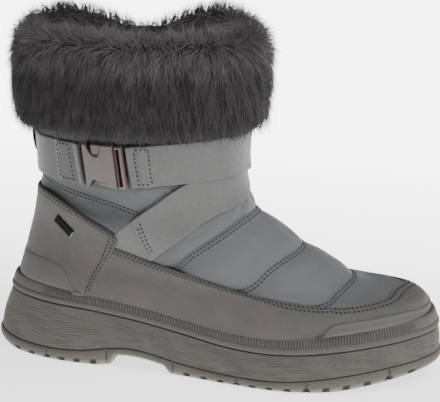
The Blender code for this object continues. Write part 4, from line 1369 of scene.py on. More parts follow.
def padding(points, normals, turn, sizes):
    """How far the quilting stands out from the skin, and a painted shade over it: dark in the
    seams' creases and valleys, under the quarter seam, over the rear quarters and beside the straps
    and belt.

    The padding swells away from the seams as 1 - exp(-(distance / reach) ** 1.4),
    with the distances to all seams blended by their inverse cubes. The highest seam
    is lapped: a flat band below a sharp crease. Each soft fold is a bell-shaped
    trough between two low ridges. Panels, straps and cuff hold the padding down.
    """
    reach = sizes.puff_reach
    away = []
    shade = np.zeros(turn.shape)
    crease = np.zeros(turn.shape)
    for number, places in enumerate(VAMP_SEAMS):
        line, _ = shell_line(across(places), 70)
        distance, _, side = nearest(points, line, normals)
        if number == 0:
            above = np.maximum(distance - LAP_ABOVE, 0.0) * 1.7
            below = np.maximum(distance - LAP_BELOW, 0.0)
            away.append(np.where(side > 0, above, below))
            # painted shade along the lapped seam's crease, as its fold's shadow
            sharp = dent(side * distance - LAP_CREASE, 0.0005)
            crease += 0.0006 * sharp
            shade = np.maximum(shade, 0.85 * sharp)
        else:
            away.append(np.maximum(distance - SEAM_FLAT, 0.0))
            # painted shade at the foot of the other seams
            sharp = dent(side * distance - SEAM_FOOT, 0.0005) * (0.5 if number == 2 else 0.2)
            shade = np.maximum(shade, sharp)
        # painted shade in each seam's valley
        shade = np.maximum(shade, 0.12 * dent(distance, 0.0022))
    line, _ = shell_line(quarter_places(), 110)
    distance, _, side = nearest(points, line, normals)
    away.append(np.maximum(distance - SEAM_FLAT, 0.0))
    below = -side * distance
    # painted shadow just below the quarter seam, as under its fold
    shade = 0.72 * np.maximum(shade, 0.4 * dent(below - SEAM_FOOT, 0.0009))
    # painted shade over the rear quarters, dark as if turned from the light, deepest in a band
    # below the quarter seam
    rear = 1.0 - ease(0.2, 0.32, np.minimum(turn, 1.0 - turn))
    under = ease(0.0, 0.004, below) * (1.0 - ease(0.008, 0.02, below))
    shade = np.maximum(shade, (0.44 + 0.22 * under) * rear)
    shade = np.maximum(shade, 0.11 * dent(distance, 0.0022))
    near = np.sum([(gap + 0.0004) ** -3.0 for gap in away], axis=0) ** (-1.0 / 3.0) - 0.0003
    swell = 1.0 - np.exp(-(np.maximum(near, 0.0) / reach) ** 1.4)
    toe = ease(222.0, 240.0, pattern_x(points))
    out = -sizes.seam_deep + (sizes.seam_deep + sizes.puff * (1.0 - 1.1 * toe)) * swell - crease
    for turn_a, row_a, turn_b, row_b, deep, wide in FOLDS:
        line, _ = shell_line(((turn_a, row_a), (turn_b, row_b)), 9)
        distance, place, _ = nearest(points, line)
        taper = np.sin(math.pi * np.clip(0.04 + 0.92 * place, 0.0, 1.0)) ** 0.6
        wide = wide * MM
        ridge = dent(distance - 1.8 * wide, 0.9 * wide)
        out = out + deep * MM * taper * (0.35 * ridge - dent(distance, wide))
    out = out + 0.00022 * ripple(points, 0.022, 11) + 0.0001 * ripple(points, 0.008, 12)
    out, contact = held_down(points, normals, turn, np.maximum(out, -DEEPEST))
    # painted contact shadow beside the straps' and the belt's edges
    return out, np.clip(np.maximum(shade, 0.6 * contact), 0.0, 1.0)


def let_up(distance, least, most, reach):
    """Cap on the padding: least under what holds it down, rising by most beside that."""
    return least + most * (1.0 - np.exp(-(distance / reach) ** 1.2))


def held_down(points, normals, turn, out):
    """Cap the padding under the panels, the straps and the cuff, rising beside them.

    Also gives how near each point is to the edge of a strap or just below the belt, where padding()
    paints a contact shadow.
    """
    for table, start, end in ((row_table(curve_of(MUDGUARD_TOP), INNER_DROP), 0.17, 0.83),
                              (row_table(curve_of(HEEL_PANEL_TOP)), -0.215, 0.215)):
        line, _ = edge_line(table, start, end, 90)
        distance, _, side = nearest(points, line, normals)
        above = np.where(side > 0, distance, 0.0)
        held = np.minimum(out, let_up(above, 0.0001, 0.0024, 0.0065))
        if start > 0:
            inside = (turn > start) & (turn < end)
        else:
            inside = (turn > start % 1.0) | (turn < end)
        out = np.where(inside, held, out)
    low_turn, low_z = strap_edge("low", 26)
    high_turn, high_z = strap_edge("high", 26)
    middle = upper_skin((low_turn + high_turn) / 2,
                        row_at_height((low_turn + high_turn) / 2, (low_z + high_z) / 2))
    distance, _, _ = nearest(points, middle)
    # where the instep strap's edge casts its shadow, painted on the nylon
    contact = dent(distance - WEBBING / 2 - 0.0004, 0.0010)
    beside = np.maximum(distance - WEBBING / 2, 0.0)
    out = np.minimum(out, let_up(beside, 0.0005, 0.0022, 0.005))
    height = points[..., 2] - belt_middle(turn) * MM
    # and the painted shadow under the belt's lower edge
    contact = np.maximum(contact, dent(height + WEBBING / 2 + 0.0006, 0.0016))
    beside = np.maximum(np.abs(height) - WEBBING / 2, 0.0)
    out = np.minimum(out, let_up(beside, 0.0001, 0.0022, 0.005))
    return np.minimum(out, 0.003 * (1.0 - ease(150.0, 157.0, points[..., 2] / MM))), contact


def make_quilting(sizes):
    """Padded outside of the shell: the skin moved out by padding(), closed to mid wall."""
    turn = skin_turns(280, 138)
    row = np.concatenate([np.linspace(0.0, 2.6, 8), np.linspace(2.75, 8.3, 170),
                          np.linspace(8.5, TOP_ROW, 26)])
    grid_turn, grid_row = np.meshgrid(turn, row)
    skin, normal = skin_line(grid_turn, grid_row)
    out, shade = padding(skin, normal, grid_turn, sizes)
    outer = skin + normal * out[..., None]
    drop_to_deck(outer[0])
    back = np.concatenate([np.arange(len(row) - 1, 0, -8), [0]])
    inner = on_shell(grid_turn[back], grid_row[back], SHELL_INNER)
    drop_to_deck(inner[-1])
    points, faces = ring_body(np.concatenate([outer, inner]))
    # the seam value carries padding()'s painted shade as well as the seams
    seam = np.concatenate([shade.ravel(), np.zeros(inner.shape[0] * inner.shape[1])])
    piece = make_piece("quilted_shell", points, faces, finish_of("nylon"), ["upper"],
                       values={"seam": seam})
    return piece


def make_lining(sizes):
    """Thin felt lining inside the shell, from its foot to the collar."""
    turn = skin_turns(90, 90)
    row = np.linspace(0.0, TOP_ROW, 34)
    grid_turn, grid_row = np.meshgrid(turn, row)
    outer = on_shell(grid_turn, grid_row, LINING_OUTER)
    inner = on_shell(grid_turn[::-1], grid_row[::-1], -WALL)
    for ring in (outer[0], inner[-1]):
        drop_to_deck(ring)
    points, faces = ring_body(np.concatenate([outer, inner]))
    return make_piece("shell_lining", points, faces, finish_of("lining"), ["upper"])


class PanelLayout:
    """How a panel lies on the shell, between the rim and its top edge.

    turn_of(level, share) gives the turn at a share of the way along it, where its ends
    slant; a level runs from 0 at the rim to 1 at the top edge.
    """

    def __init__(self, turn_of, top, shares, corner, drop=0.0):
        self.turn_of = turn_of
        self.shares = shares
        self.corner = corner
        self.low = row_table(under_rim)
        self.high = row_table(top, drop)
        middle = turn_of(np.full(shares.shape, 0.6), shares)
        low = self.low(middle)
        steps = np.linspace(0.0, 1.0, 13)[:, None]
        rise = upper_skin(middle[None], low + (self.high(middle) - low) * steps)
        self.tall = np.linalg.norm(np.diff(rise, axis=0), axis=-1).sum(0)
        self.run = path_length(rise[-3])

    def spot(self, level, share):
        """Turn and row at a level and a share of the way along."""
        turn = self.turn_of(level, share)
        bottom = self.low(turn)
        return turn, bottom + (self.high(turn) - bottom) * level

    def surface(self, near, left):
        """Turns, rows and edge distances, laid out by distance below the top edge.

        near holds distances below it in mm, left shares of what remains. The top edge
        drops at the panel's ends as a quarter circle of the corner's radius.
        """
        end = np.minimum(self.run, self.run[-1] - self.run)
        round_off = np.clip(1.0 - end / max(self.corner, 1e-6), 0.0, 1.0)
        drop = self.corner * (1.0 - np.sqrt(np.maximum(1.0 - round_off ** 2, 0.0)))
        squeeze = np.minimum(1.0, 0.6 * self.tall / (near[-1] * 0.001))
        fixed = near[:, None] * 0.001 * squeeze
        rest = fixed[-1] + (self.tall - fixed[-1]) * left[:, None]
        down = np.concatenate([fixed, rest])
        fall = drop * (1.0 - down / self.tall)
        level = np.clip(1.0 - (down + fall) / self.tall, 0.0, 1.0)
        turn, row = self.spot(level, np.broadcast_to(self.shares, level.shape))
        return turn, row, down, np.broadcast_to(end, level.shape)

    def line(self, inset):
        """Points and normals of the skin a distance inside the panel's edge.

        With a corner the line climbs one end, rounds the corner, follows the top edge
        and comes down the other end; without one it only follows the top edge.
        """
        whole = self.run[-1]
        first = max(self.corner, 0.002)
        along = np.linspace(first, whole - first, 300)
        down = np.full(along.shape, inset)
        if self.corner:
            angle = np.linspace(0.0, math.pi / 2, 12)[:-1]
            radius = self.corner - inset
            climb = np.linspace(float(self.tall[0]) - 0.0025, self.corner, 40)[:-1]
            bend_u = self.corner - radius * np.cos(angle)
            bend_v = self.corner - radius * np.sin(angle)
            side_u = np.concatenate([np.full(climb.shape, inset), bend_u])
            side_v = np.concatenate([climb, bend_v])
            along = np.concatenate([side_u, along, whole - side_u[::-1]])
            down = np.concatenate([side_v, down, side_v[::-1]])
        share = np.interp(along, self.run, self.shares)
        level = 1.0 - down / np.interp(share, self.shares, self.tall)
        return skin_line(*self.spot(level, share))


def make_panel(name, node, layout, base, thick):
    """Leather overlay with round edges, sunk a little along its two stitch rows."""
    left = np.concatenate([np.linspace(0.1, 0.93, 11), [0.97, 0.99, 1.0]])
    turn, row, down, end = layout.surface(np.array(PANEL_NEAR), left)
    edge = np.minimum(down, end)
    lift = thick * (0.12 + 0.88 * rounded(edge, 0.0009))
    skin = upper_skin(turn, row)
    inside = edge if layout.corner else down
    sunk = dent(inside - PANEL_ROWS[0], 0.0006) + dent(inside - PANEL_ROWS[1], 0.0006)
    swell = dent(inside - sum(PANEL_ROWS) / 2, 0.0007)
    lift = lift + 0.00014 * swell - 0.0002 * sunk
    lift = lift + PANEL_WAVE * ripple(skin, PANEL_CELL, 21) * rounded(edge, 0.004)
    face = skin + upper_normal(turn, row) * (base + lift)[..., None]
    back = np.linspace(0, len(turn) - 1, 5).astype(int)
    under = on_shell(turn[back], row[back], base)
    section_grid = np.concatenate([face[::-1], under]).transpose(1, 0, 2)
    points, faces = strip_body(section_grid)
    # darker along the leather's very edge, and painted shade in the sunk stitch rows
    mark = 0.3 * dent(edge, 0.0003) + 0.12 * np.minimum(sunk, 1.0)
    seam = np.concatenate([mark[::-1], np.zeros(under.shape[:2])]).T
    return make_piece(name, points, faces, finish_of("nubuck"), [node],
                      values={"seam": seam})


def end_clusters(count, fine_count=10, fine_share=0.02):
    """Shares from 0 to 1 that crowd toward both ends."""
    near = fine_share * (np.arange(fine_count) / fine_count) ** 1.4
    middle = np.linspace(fine_share, 1.0 - fine_share, count)
    return np.concatenate([near, middle, 1.0 - near[::-1]])


def joint_table(shift, top):
    """Turn of the panels' joint at any share of their height, read from a table."""
    levels = np.linspace(0.0, 1.0, 21)
    turns = joint_turn(levels, shift, top)
    return lambda level: np.interp(level, levels, turns)


def mudguard_layout():
    """The mudguard, its ends tucked under the heel panel."""
    slant = joint_table(-3.0, curve_of(HEEL_PANEL_TOP))

    def place(level, share):
        joint = slant(0.75 * np.asarray(level))
        return joint + (1.0 - 2.0 * joint) * share

    return PanelLayout(place, curve_of(MUDGUARD_TOP), end_clusters(400, 6, 0.008), 0.0, INNER_DROP)


def heel_layout():
    """The heel panel, with rounded front corners."""
    top = curve_of(HEEL_PANEL_TOP)
    joint = joint_table(0.7, top)

    def place(level, share):
        return -joint(level) + 2.0 * joint(level) * share

    return PanelLayout(place, top, end_clusters(190, 14, 0.035), HEEL_CORNER)


def make_panels(sizes):
    """Mudguard and heel panel, the heel panel lapping over the mudguard's ends."""
    make_panel("mudguard_leather", "mudguard", mudguard_layout(), GAP, LEATHER)
    make_panel("heel_leather", "heel_panel", heel_layout(), HEEL_BASE, HEEL_LEATHER)


# --- straps -------------------------------------------------------------------
def buckle_place():
    """Middle of the buckle and its axes: along the belt, up it, and out of it."""
    row = np.array(BELT_ROW)
    turn = turn_at(sum(BUCKLE_X) / 2, row)
    middle = on_shell(turn, row, GAP + BUCKLE_STANDOFF + BUCKLE_THICK / 2)
    along = upper_skin(turn + 0.004, row) - upper_skin(turn - 0.004, row)
    along[2] = 0.0
    along = unit(along)
    up = np.array([0.0, 0.0, 1.0])
    out = unit(np.cross(along, up))
    lean = math.radians(BUCKLE_TILT)
    rise = up * math.cos(lean) - along * math.sin(lean)
    middle[2] = BELT_Z * MM
    return middle, along, rise, out


def strap_section(count):
    """Shares across a strap, crowding at its edges, and their rounded thickness."""
    inner = np.linspace(0.04, 0.96, count)
    share = np.concatenate([[0.0, 0.004, 0.012, 0.024], inner, [0.976, 0.988, 0.996, 1.0]])
    edge = np.minimum(share, 1.0 - share) * WEBBING
    return share, 0.15 + 0.85 * rounded(edge, 0.0007)


def belt_course():
    """Turns along the belt, and the distance from its front end at each."""
    start = float(turn_at(BUCKLE_X[1] - PLUG_SHORT + 0.4, np.array(BELT_ROW)))
    end = 1.0 + float(turn_at(BUCKLE_X[0] - 1.2, np.array(BELT_ROW)))
    middle_turns = np.linspace(start + BELT_NEAR, end - BELT_FAR, 250)
    near = start + BELT_NEAR * np.linspace(0.0, 1.0, 64)[:-1] ** 1.25
    far = end - BELT_FAR * np.linspace(1.0, 0.0, 80)[1:] ** 1.25
    turn = np.concatenate([near, middle_turns, far])
    return turn, path_length(upper_skin(turn % 1.0, np.full(turn.shape, BELT_ROW)))


def belt_lay(turn, run, back, aside):
    """Turn, row and lift of places on the belt's face.

    run and back are distances from its ends, aside the distance from its middle. The
    folded ends thicken it and roll out where they turn round the buckle; the webbing
    leans with the buckle there.
    """
    slant = math.tan(math.radians(BUCKLE_TILT)) / 0.44
    turn = (turn - slant * aside * (dent(run, 0.024) + dent(back, 0.024))) % 1.0
    row = row_at_height(turn, belt_middle(turn) + aside / MM)
    fold_a = 1.0 - ease(FOLD_LONG[0] - 0.005, FOLD_LONG[0], run)
    fold_b = 1.0 - ease(FOLD_LONG[1] - 0.005, FOLD_LONG[1], back)
    roll = dent(run - 0.0020, 0.0018) + dent(back - 0.0024, 0.0019)
    wave = 0.00025 * np.sin(run * 2 * math.pi / 0.055 + 0.7) + 0.00012 * np.sin(run * 210.0)
    thick = WEBBING_THICK + FOLD_THICK * np.maximum(fold_a, fold_b) + ROLL * roll
    return turn, row, GAP + belt_lift(turn) + thick + np.abs(wave)


def webbing_piece(name, node, face, under, run, share, seam):
    """A strap from its face and back, with cloth coordinates and shades on the face."""
    points, faces = strip_body(np.concatenate([face, under], axis=1))
    cloth = np.stack(np.broadcast_arrays(run[:, None], (share[None] - 0.5) * WEBBING), -1)
    return make_piece(name, points, faces, finish_of("webbing"), [node],
                      uv=with_back(cloth), values={"seam": with_back(seam, 0.0)})


def make_belt(sizes):
    """Ankle belt: a webbing section carried round the shaft, doubled near the buckle."""
    turn, run = belt_course()
    back = run[-1] - run
    share, thick = strap_section(19)
    aside = (share - 0.5) * WEBBING
    at, row, lift = belt_lay(turn[:, None], run[:, None], back[:, None], aside[None])
    nose = rounded(np.minimum(run, back)[:, None], 0.0013)
    base = GAP + belt_lift(at)
    face = on_shell(at, row, base + (lift - base) * thick[None] * (0.1 + 0.9 * nose))
    keep = back_columns(len(share))
    under = on_shell(at[:, keep], row[:, keep], base[:, keep])
    # painted shadow just behind the rolls at both ends
    beside = dent(run - 0.0068, 0.0012) + dent(back - 0.0062, 0.0014)
    edge = dent(np.minimum(share, 1.0 - share) * WEBBING, 0.0004)
    seam = np.maximum(0.17 * beside[:, None], 0.2 * edge[None])
    # painted shadow on the belt's last millimetres at the buckle's gaps
    ends = np.maximum(0.95 * dent(back, 0.0013), 0.8 * dent(run, 0.0006))
    # painted shade over the belt's rear part, dark as if turned from the light
    rear = 0.36 * ease(0.0048, 0.0075, back) * (1.0 - ease(0.06, 0.16, back))
    seam = np.maximum(seam + rear[:, None], ends[:, None])
    return webbing_piece("ankle_belt", "ankle_strap", face, under, run, share, seam)


def make_instep_strap(sizes):
    """Instep strap: webbing between its two edge curves.

    Its low end is a thin tab tucked under the nubuck panels; beyond the stitched rows
    it has its whole thickness.
    """
    count = 170
    low_turn, low_z = strap_edge("low", count)
    high_turn, high_z = strap_edge("high", count)
    share, thick = strap_section(19)
    turn = low_turn[:, None] + (high_turn - low_turn)[:, None] * share
    height = low_z[:, None] + (high_z - low_z)[:, None] * share
    row = row_at_height(turn, height)
    skin, normal = skin_line(turn, row)
    run = path_length(skin[:, len(share) // 2])
    line, _ = shell_line(((0.2282, 4.0), (0.2578, 7.05)), 12)
    distance, _, side = nearest(skin, line, normal)
    past = -side * distance
    sewn = ease(-0.004, -0.0012, past)
    base = 0.0001 + (STRAP_SEAT - 0.0001) * sewn
    full = TAB_THICK + (WEBBING_THICK - TAB_THICK) * sewn
    wave = 0.0002 * np.sin(run * 2 * math.pi / 0.06)[:, None] * sewn
    hollow = -0.0002 * np.sin(math.pi * share)[None] * sewn
    lift = base + (full + wave) * thick[None] + hollow
    rows_sunk = dent(past, 0.0006) + dent(past - STRAP_PITCH, 0.0006)
    lift = lift - 0.0002 * rows_sunk * thick[None]
    guard = row_table(curve_of(MUDGUARD_TOP))(turn)
    tucked = ease(-0.08, 0.12, guard - row)
    lift = lift + (0.0005 - lift) * tucked
    face = skin + normal * lift[..., None]
    keep = back_columns(len(share))
    under = on_shell(turn[:, keep], row[:, keep], base[:, keep])
    edge = dent(np.minimum(share, 1.0 - share) * WEBBING, 0.0004)
    # darker at its edges; painted shade where it steps down to its tab and in the sunk stitch rows
    seam = np.maximum(0.2 * edge[None], 0.14 * dent(past + 0.003, 0.0012))
    seam = np.maximum(seam, 0.07 * rows_sunk)
    return webbing_piece("instep_webbing", "instep_strap", face, under, run, share, seam)


def relief_piece(name, node, along, low, high, count, depth, thick, rosy_face=0.0):
    """Moulded slab in the buckle's own frame, with relief on its outer face.

    along holds the stations; low and high the outline's lower and upper edge there;
    depth(a, w) is how far the face lies below the slab's full thickness, and its painted
    shade, the darkness of the hollows' shadow. Away from that the face is at least rosy_face rosy.
    """
    middle, axis_a, axis_w, axis_n = buckle_place()
    inner = np.linspace(0.0, 1.0, count)[1:-1]
    cluster = np.concatenate([[0.0, 0.004, 0.012, 0.022], inner, [0.978, 0.988, 0.996, 1.0]])
    cluster = np.sort(cluster)
    a = np.broadcast_to(along[:, None], (len(along), len(cluster)))
    w = low[:, None] + (high - low)[:, None] * cluster[None]
    side = np.minimum(a - along[0], along[-1] - a)
    edge = np.minimum(side, np.minimum(w - low[:, None], high[:, None] - w))
    crown = 0.0004 * np.sin(math.pi * (a - along[0]) / (along[-1] - along[0]))
    crown = crown * np.sin(math.pi * cluster[None])
    sunk, dark = depth(a, w)
    n = thick * (0.45 + 0.55 * rounded(edge, 0.0011)) + crown - sunk - thick / 2
    n = np.maximum(n, -thick / 2 + 0.0004)
    a, w, n = with_back(a), with_back(w), with_back(n, -thick / 2)
    grid = middle + a[..., None] * axis_a + w[..., None] * axis_w + n[..., None] * axis_n
    rosy = with_back(dent(edge, 0.0009) * (1.0 - dark), 0.0)
    dark = with_back(dark, 0.0)
    rosy = np.maximum(rosy, rosy_face * (1.0 - dark))
    points, faces = strip_body(grid)
    return make_piece(name, points, faces, finish_of("buckle"), [node],
                      values={"edge": rosy, "seam": dark})


def stations(start, end, count):
    """Stations that crowd at both ends."""
    inner = np.linspace(start, end, count)[1:-1]
    reach = end - start
    near = np.array([0.0, 0.004, 0.012, 0.024]) * reach
    return np.sort(np.concatenate([start + near, inner, end - near]))


def make_buckle(sizes):
    """Side-release buckle: socket with a thumb window and a cut-away, plug with its slot."""
    span = (BUCKLE_X[1] - BUCKLE_X[0]) * MM
    split = -span / 2 + SOCKET_SHARE * span
    half = BUCKLE_HIGH / 2 + 0.0003
    along = stations(-span / 2, split, 74)
    from_left = (along + span / 2) * 1000.0
    low = -curve_of(SOCKET_LOW)(from_left) * 0.001
    high = np.full(along.shape, half)

    def socket_relief(a, w):
        u = (a + span / 2) * 1000.0
        window = curve_of(WINDOW)(u) * 0.001
        inside = (u > WINDOW[0][0]) & (u < WINDOW[-1][0])
        gap = np.where(inside, w - window, -1.0)
        line = dent(gap, 0.00035) * inside
        deep = ease(0.0, 0.0008, gap) * inside
        wedge = deep * (1.0 - ease(4.2, 6.3, u))
        over = w - low[:, None]
        notch = dent(u - 6.4, 1.1) * dent(over - 0.0008, 0.0012)
        sunk = 0.0005 * line + 0.0009 * deep + 0.0026 * wedge + 0.0022 * notch
        ridge = ease(5.5, 8.0, u) * (1.0 - ease(11.0, 15.0, u))
        bulge = 0.0004 * dent(w + 0.0098 + 0.0001 * u, 0.0012) * ridge
        wall = dent(over, 0.0008) * ease(1.6, 2.4, u) * (1.0 - ease(5.2, 5.9, u))
        # painted shade: the window's outline, the wedge and notch hollows and the low wall
        dark = np.clip(0.9 * line + 0.85 * wedge + 0.9 * notch + 0.95 * wall, 0.0, 1.0)
        return sunk - bulge, dark

    relief_piece("buckle_housing", "buckle_socket", along, low, high, 92, socket_relief,
                 BUCKLE_THICK)
    along = stations(split + GAP, span / 2 - PLUG_SHORT * MM, 46)

    def plug_relief(a, w):
        u = (a - split) * 1000.0
        slot = ease(1.25, 1.6, u) * (1.0 - ease(3.45, 3.8, u))
        slot = slot * ease(0.0, 0.0006, half - 0.0022 - np.abs(w))
        # painted shadow deep in the slot
        return 0.0042 * slot, 0.95 * slot

    low = np.full(along.shape, -half + 0.0002)
    high = np.full(along.shape, half - 0.0004)
    relief_piece("buckle_slider", "buckle_plug", along, low, high, 60, plug_relief,
                 BUCKLE_THICK - 0.0006, 0.55)


def make_pull_loop(sizes):
    """Black webbing loop at the back, bowed a little off the belt."""
    wide, tall = 17, 30
    turn = np.linspace(-LOOP_TURN, LOOP_TURN, wide)
    height = np.linspace(LOOP_Z[0], LOOP_Z[1], tall)
    grid_height, grid_turn = np.meshgrid(height, turn, indexing="ij")
    row = row_at_height(grid_turn % 1.0, grid_height)
    bow = np.sin(math.pi * np.linspace(0.0, 1.0, tall))[:, None]
    edge = rounded((1.0 - np.abs(np.linspace(-1, 1, wide))) * LOOP_TURN * 0.36, 0.0007)[None]
    base = 2.2 * GAP + WEBBING_THICK + 0.0011 * bow
    base = np.broadcast_to(base, grid_turn.shape)
    face = on_shell(grid_turn % 1.0, row, base + 0.0011 * (0.2 + 0.8 * edge))
    keep = back_columns(wide)
    under = on_shell(grid_turn[:, keep] % 1.0, row[:, keep], base[:, keep])
    points, faces = strip_body(np.concatenate([face, under], axis=1))
    return make_piece("pull_tab", points, faces, finish_of("black"), ["pull_loop"])


def make_tag(sizes):
    """Bare woven flag on the heel panel, with a small clip at its lower end."""
    turn, row = side_spot(np.array(TAG_CENTRE[0]), np.array(TAG_CENTRE[1]))
    out = upper_normal(turn, row)
    along = np.array([TAG_ALONG[0], 0.0, TAG_ALONG[1]])
    along = unit(along - out * (along @ out))
    up = np.cross(out, along)
    middle = upper_skin(turn, row) + out * (2.2 * GAP + LEATHER + 0.0004)
    a = stations(-TAG_SIZE[0] / 2, TAG_SIZE[0] / 2, 26)
    w = stations(-TAG_SIZE[1] / 2, TAG_SIZE[1] / 2, 14)
    grid_a, grid_w = np.meshgrid(a, w, indexing="ij")
    edge = np.minimum(TAG_SIZE[0] / 2 - np.abs(grid_a), TAG_SIZE[1] / 2 - np.abs(grid_w))
    n = 0.0003 + 0.0008 * rounded(edge, 0.0006) + 0.00006 * np.sin(grid_w * 9000.0)
    grid_a, grid_w, n = with_back(grid_a), with_back(grid_w), with_back(n, 0.0)
    grid = middle + grid_a[..., None] * along + grid_w[..., None] * up + n[..., None] * out
    points, faces = strip_body(grid)
    make_piece("heel_flag", points, faces, finish_of("black"), ["side_tag"])
    points, faces = lozenge(0.0011, 0.0062, 0.0014, 12, 6)
    end = middle + along * (TAG_SIZE[0] / 2 + 0.0003) + out * 0.0005
    points, faces = copies(points, faces, end[None], np.stack([along, up, out])[None])
    make_piece("flag_clip", points, outward(points, faces), finish_of("metal"),
               values={"edge": np.zeros(len(points)),
                                             "seam": np.zeros(len(points))})


# --- seams --------------------------------------------------------------------
def sew(name, lines, pitch, thread, hole):
    """Stitches along lines: thread lozenges, and near-black needle holes between them, painted
    shade: small dark bodies for the shadow in each hole.

    Every second line is shifted half a stitch along.
    """
    threads = [resample(points, normals, pitch, 0.5 + 0.5 * (number % 2))
               for number, (points, normals) in enumerate(lines)]
    holes = [resample(points, normals, pitch, 0.5 * (number % 2))
             for number, (points, normals) in enumerate(lines)]
    place = np.concatenate([one[0] for one in threads])
    axes = np.concatenate([one[1] for one in threads])
    points, faces = lozenge(*THREAD)
    points, faces = copies(points, faces, place, axes)
    make_piece(name, points, faces, finish_of(thread))
    place = np.concatenate([one[0] for one in holes])
    axes = np.concatenate([one[1] for one in holes])
    points, faces = lozenge(hole, 0.8 * hole, HOLE_HIGH, 6, 2)
    points, faces = copies(points, faces, place + axes[:, 2] * HOLE_LIFT, axes)
    make_piece(f"{name}_holes", points, faces, finish_of("hole"))


def make_shell_seams(sizes):
    """Double rows of the vamp's and quarters' quilting, lying on the padding."""
    lines = []
    for places in [across(seam) for seam in VAMP_SEAMS] + [quarter_places()]:
        turn, row = seam_path(places, 160)
        line = skin_line(turn, row)
        for side in (-0.5, 0.5):
            points, normals = moved(line, side * sizes.row_gap, 0.0)
            out, _ = padding(points, normals, turn % 1.0, sizes)
            lines.append((points + normals * (out + 0.0001)[:, None], normals))
    sew("shell_seams", lines, sizes.stitch, "thread", SHELL_HOLE)


def make_panel_seams(sizes):
    """Double rows inside the edges of the mudguard and the heel panel."""
    lines = []
    for layout, out in ((mudguard_layout(), GAP + LEATHER),
                        (heel_layout(), HEEL_BASE + HEEL_LEATHER)):
        for inset in PANEL_ROWS:
            points, normals = layout.line(inset)
            lift = out - PANEL_WAVE + PANEL_WAVE * ripple(points, PANEL_CELL, 21)
            lines.append((points + normals * lift[:, None], normals))
    sew("panel_seams", lines, sizes.stitch, "thread", PANEL_HOLE)


def belt_row(course, places, asides):
    """Stitch line on the belt from distances along and across it, metres."""
    turn, run = course
    at, row, lift = belt_lay(np.interp(places, run, turn), places, run[-1] - places, asides)
    return on_shell(at, row, lift), upper_normal(at, row)


def make_strap_seams(sizes):
    """Box stitch on the belt's two ends and a double row on the instep strap."""
    lines = []
    course = belt_course()
    whole = course[1][-1]
    asides = np.linspace(-BELT_HALF_BOX, BELT_HALF_BOX, 30)
    for first, second in (BELT_FRONT, [whole - back for back in BELT_REAR]):
        for place in (first, second):
            lines.append(belt_row(course, np.full(asides.shape, place), asides))
        for aside in (asides[0], asides[-1]):
            places = np.linspace(first, second, 12)
            lines.append(belt_row(course, places, np.full(places.shape, aside)))
    for ends in STRAP_ROWS:
        turn, row = (values[1:-1] for values in seam_path(ends, 40))
        points = on_shell(turn, row, STRAP_SEAT + WEBBING_THICK - 0.0002)
        lines.append((points, upper_normal(turn, row)))
    sew("strap_seams", lines, STRAP_PITCH, "light thread", STRAP_HOLE)


# --- fur ----------------------------------------------------------------------
def crest(turn, height):
    """Rise and fall of the collar's top edge round the boot, in pattern mm."""
    rise = 0.0
    for at, high, wide in CREST_BUMPS:
        rise = rise + high * dent((turn - at + 0.5) % 1.0 - 0.5, wide)
    return rise * ease(188.0, COLLAR_Z, height)


def pile_frame(turn, share):
    """Point, outward and upward directions on the surface that the pile grows from.

    The surface is the FUR_ROOTS profile carried round the shaft: up its outer side,
    over the top and down inside.
    """
    places = np.array(FUR_ROOTS)
    run = path_length(places)
    run = run / run[-1]
    out, height = (smooth(run, places[:, k], share) for k in (0, 1))
    ahead, behind = np.clip(share + 0.01, 0, 1), np.clip(share - 0.01, 0, 1)
    slope_out, slope_up = (smooth(run, places[:, k], ahead) - smooth(run, places[:, k], behind)
                           for k in (0, 1))
    length = np.hypot(slope_out, slope_up)
    slope_out, slope_up = slope_out / length, slope_up / length
    rows = np.linspace(8.0, TOP_ROW, 161)
    row = np.interp(np.minimum(height, COLLAR_Z - 0.5), section(rows, "back_z"), rows)
    flat = upper_normal(turn, row)
    flat[..., 2] = 0.0
    flat = unit(flat)
    point = upper_skin(turn, row) + flat * (out * MM)[..., None]
    point[..., 2] = (height + crest(turn, height)) * MM
    up = np.array([0.0, 0.0, 1.0])
    normal = flat * slope_up[..., None] - up * slope_out[..., None]
    tangent = flat * slope_out[..., None] + up * slope_up[..., None]
    return point, normal, tangent


def make_fur_backing(sizes):
    """Dark felt ring that the pile grows from, closed over the shell's top edge."""
    turn = skin_turns(100, 100)
    loops = [pile_frame(turn, np.full(turn.shape, share))[0] for share in np.linspace(0, 1, 30)]
    for out, height in FUR_BACK:
        row = row_at_height(turn, np.full(turn.shape, min(height, COLLAR_Z) - 0.02))
        flat = upper_normal(turn, row)
        flat[..., 2] = 0.0
        ring = upper_skin(turn, row) + unit(flat) * out * MM
        ring[:, 2] = height * MM
        loops.append(ring)
    points, faces = ring_body(loops)
    return make_piece("fur_backing", points, faces, finish_of("backing"), ["fur_cuff"])


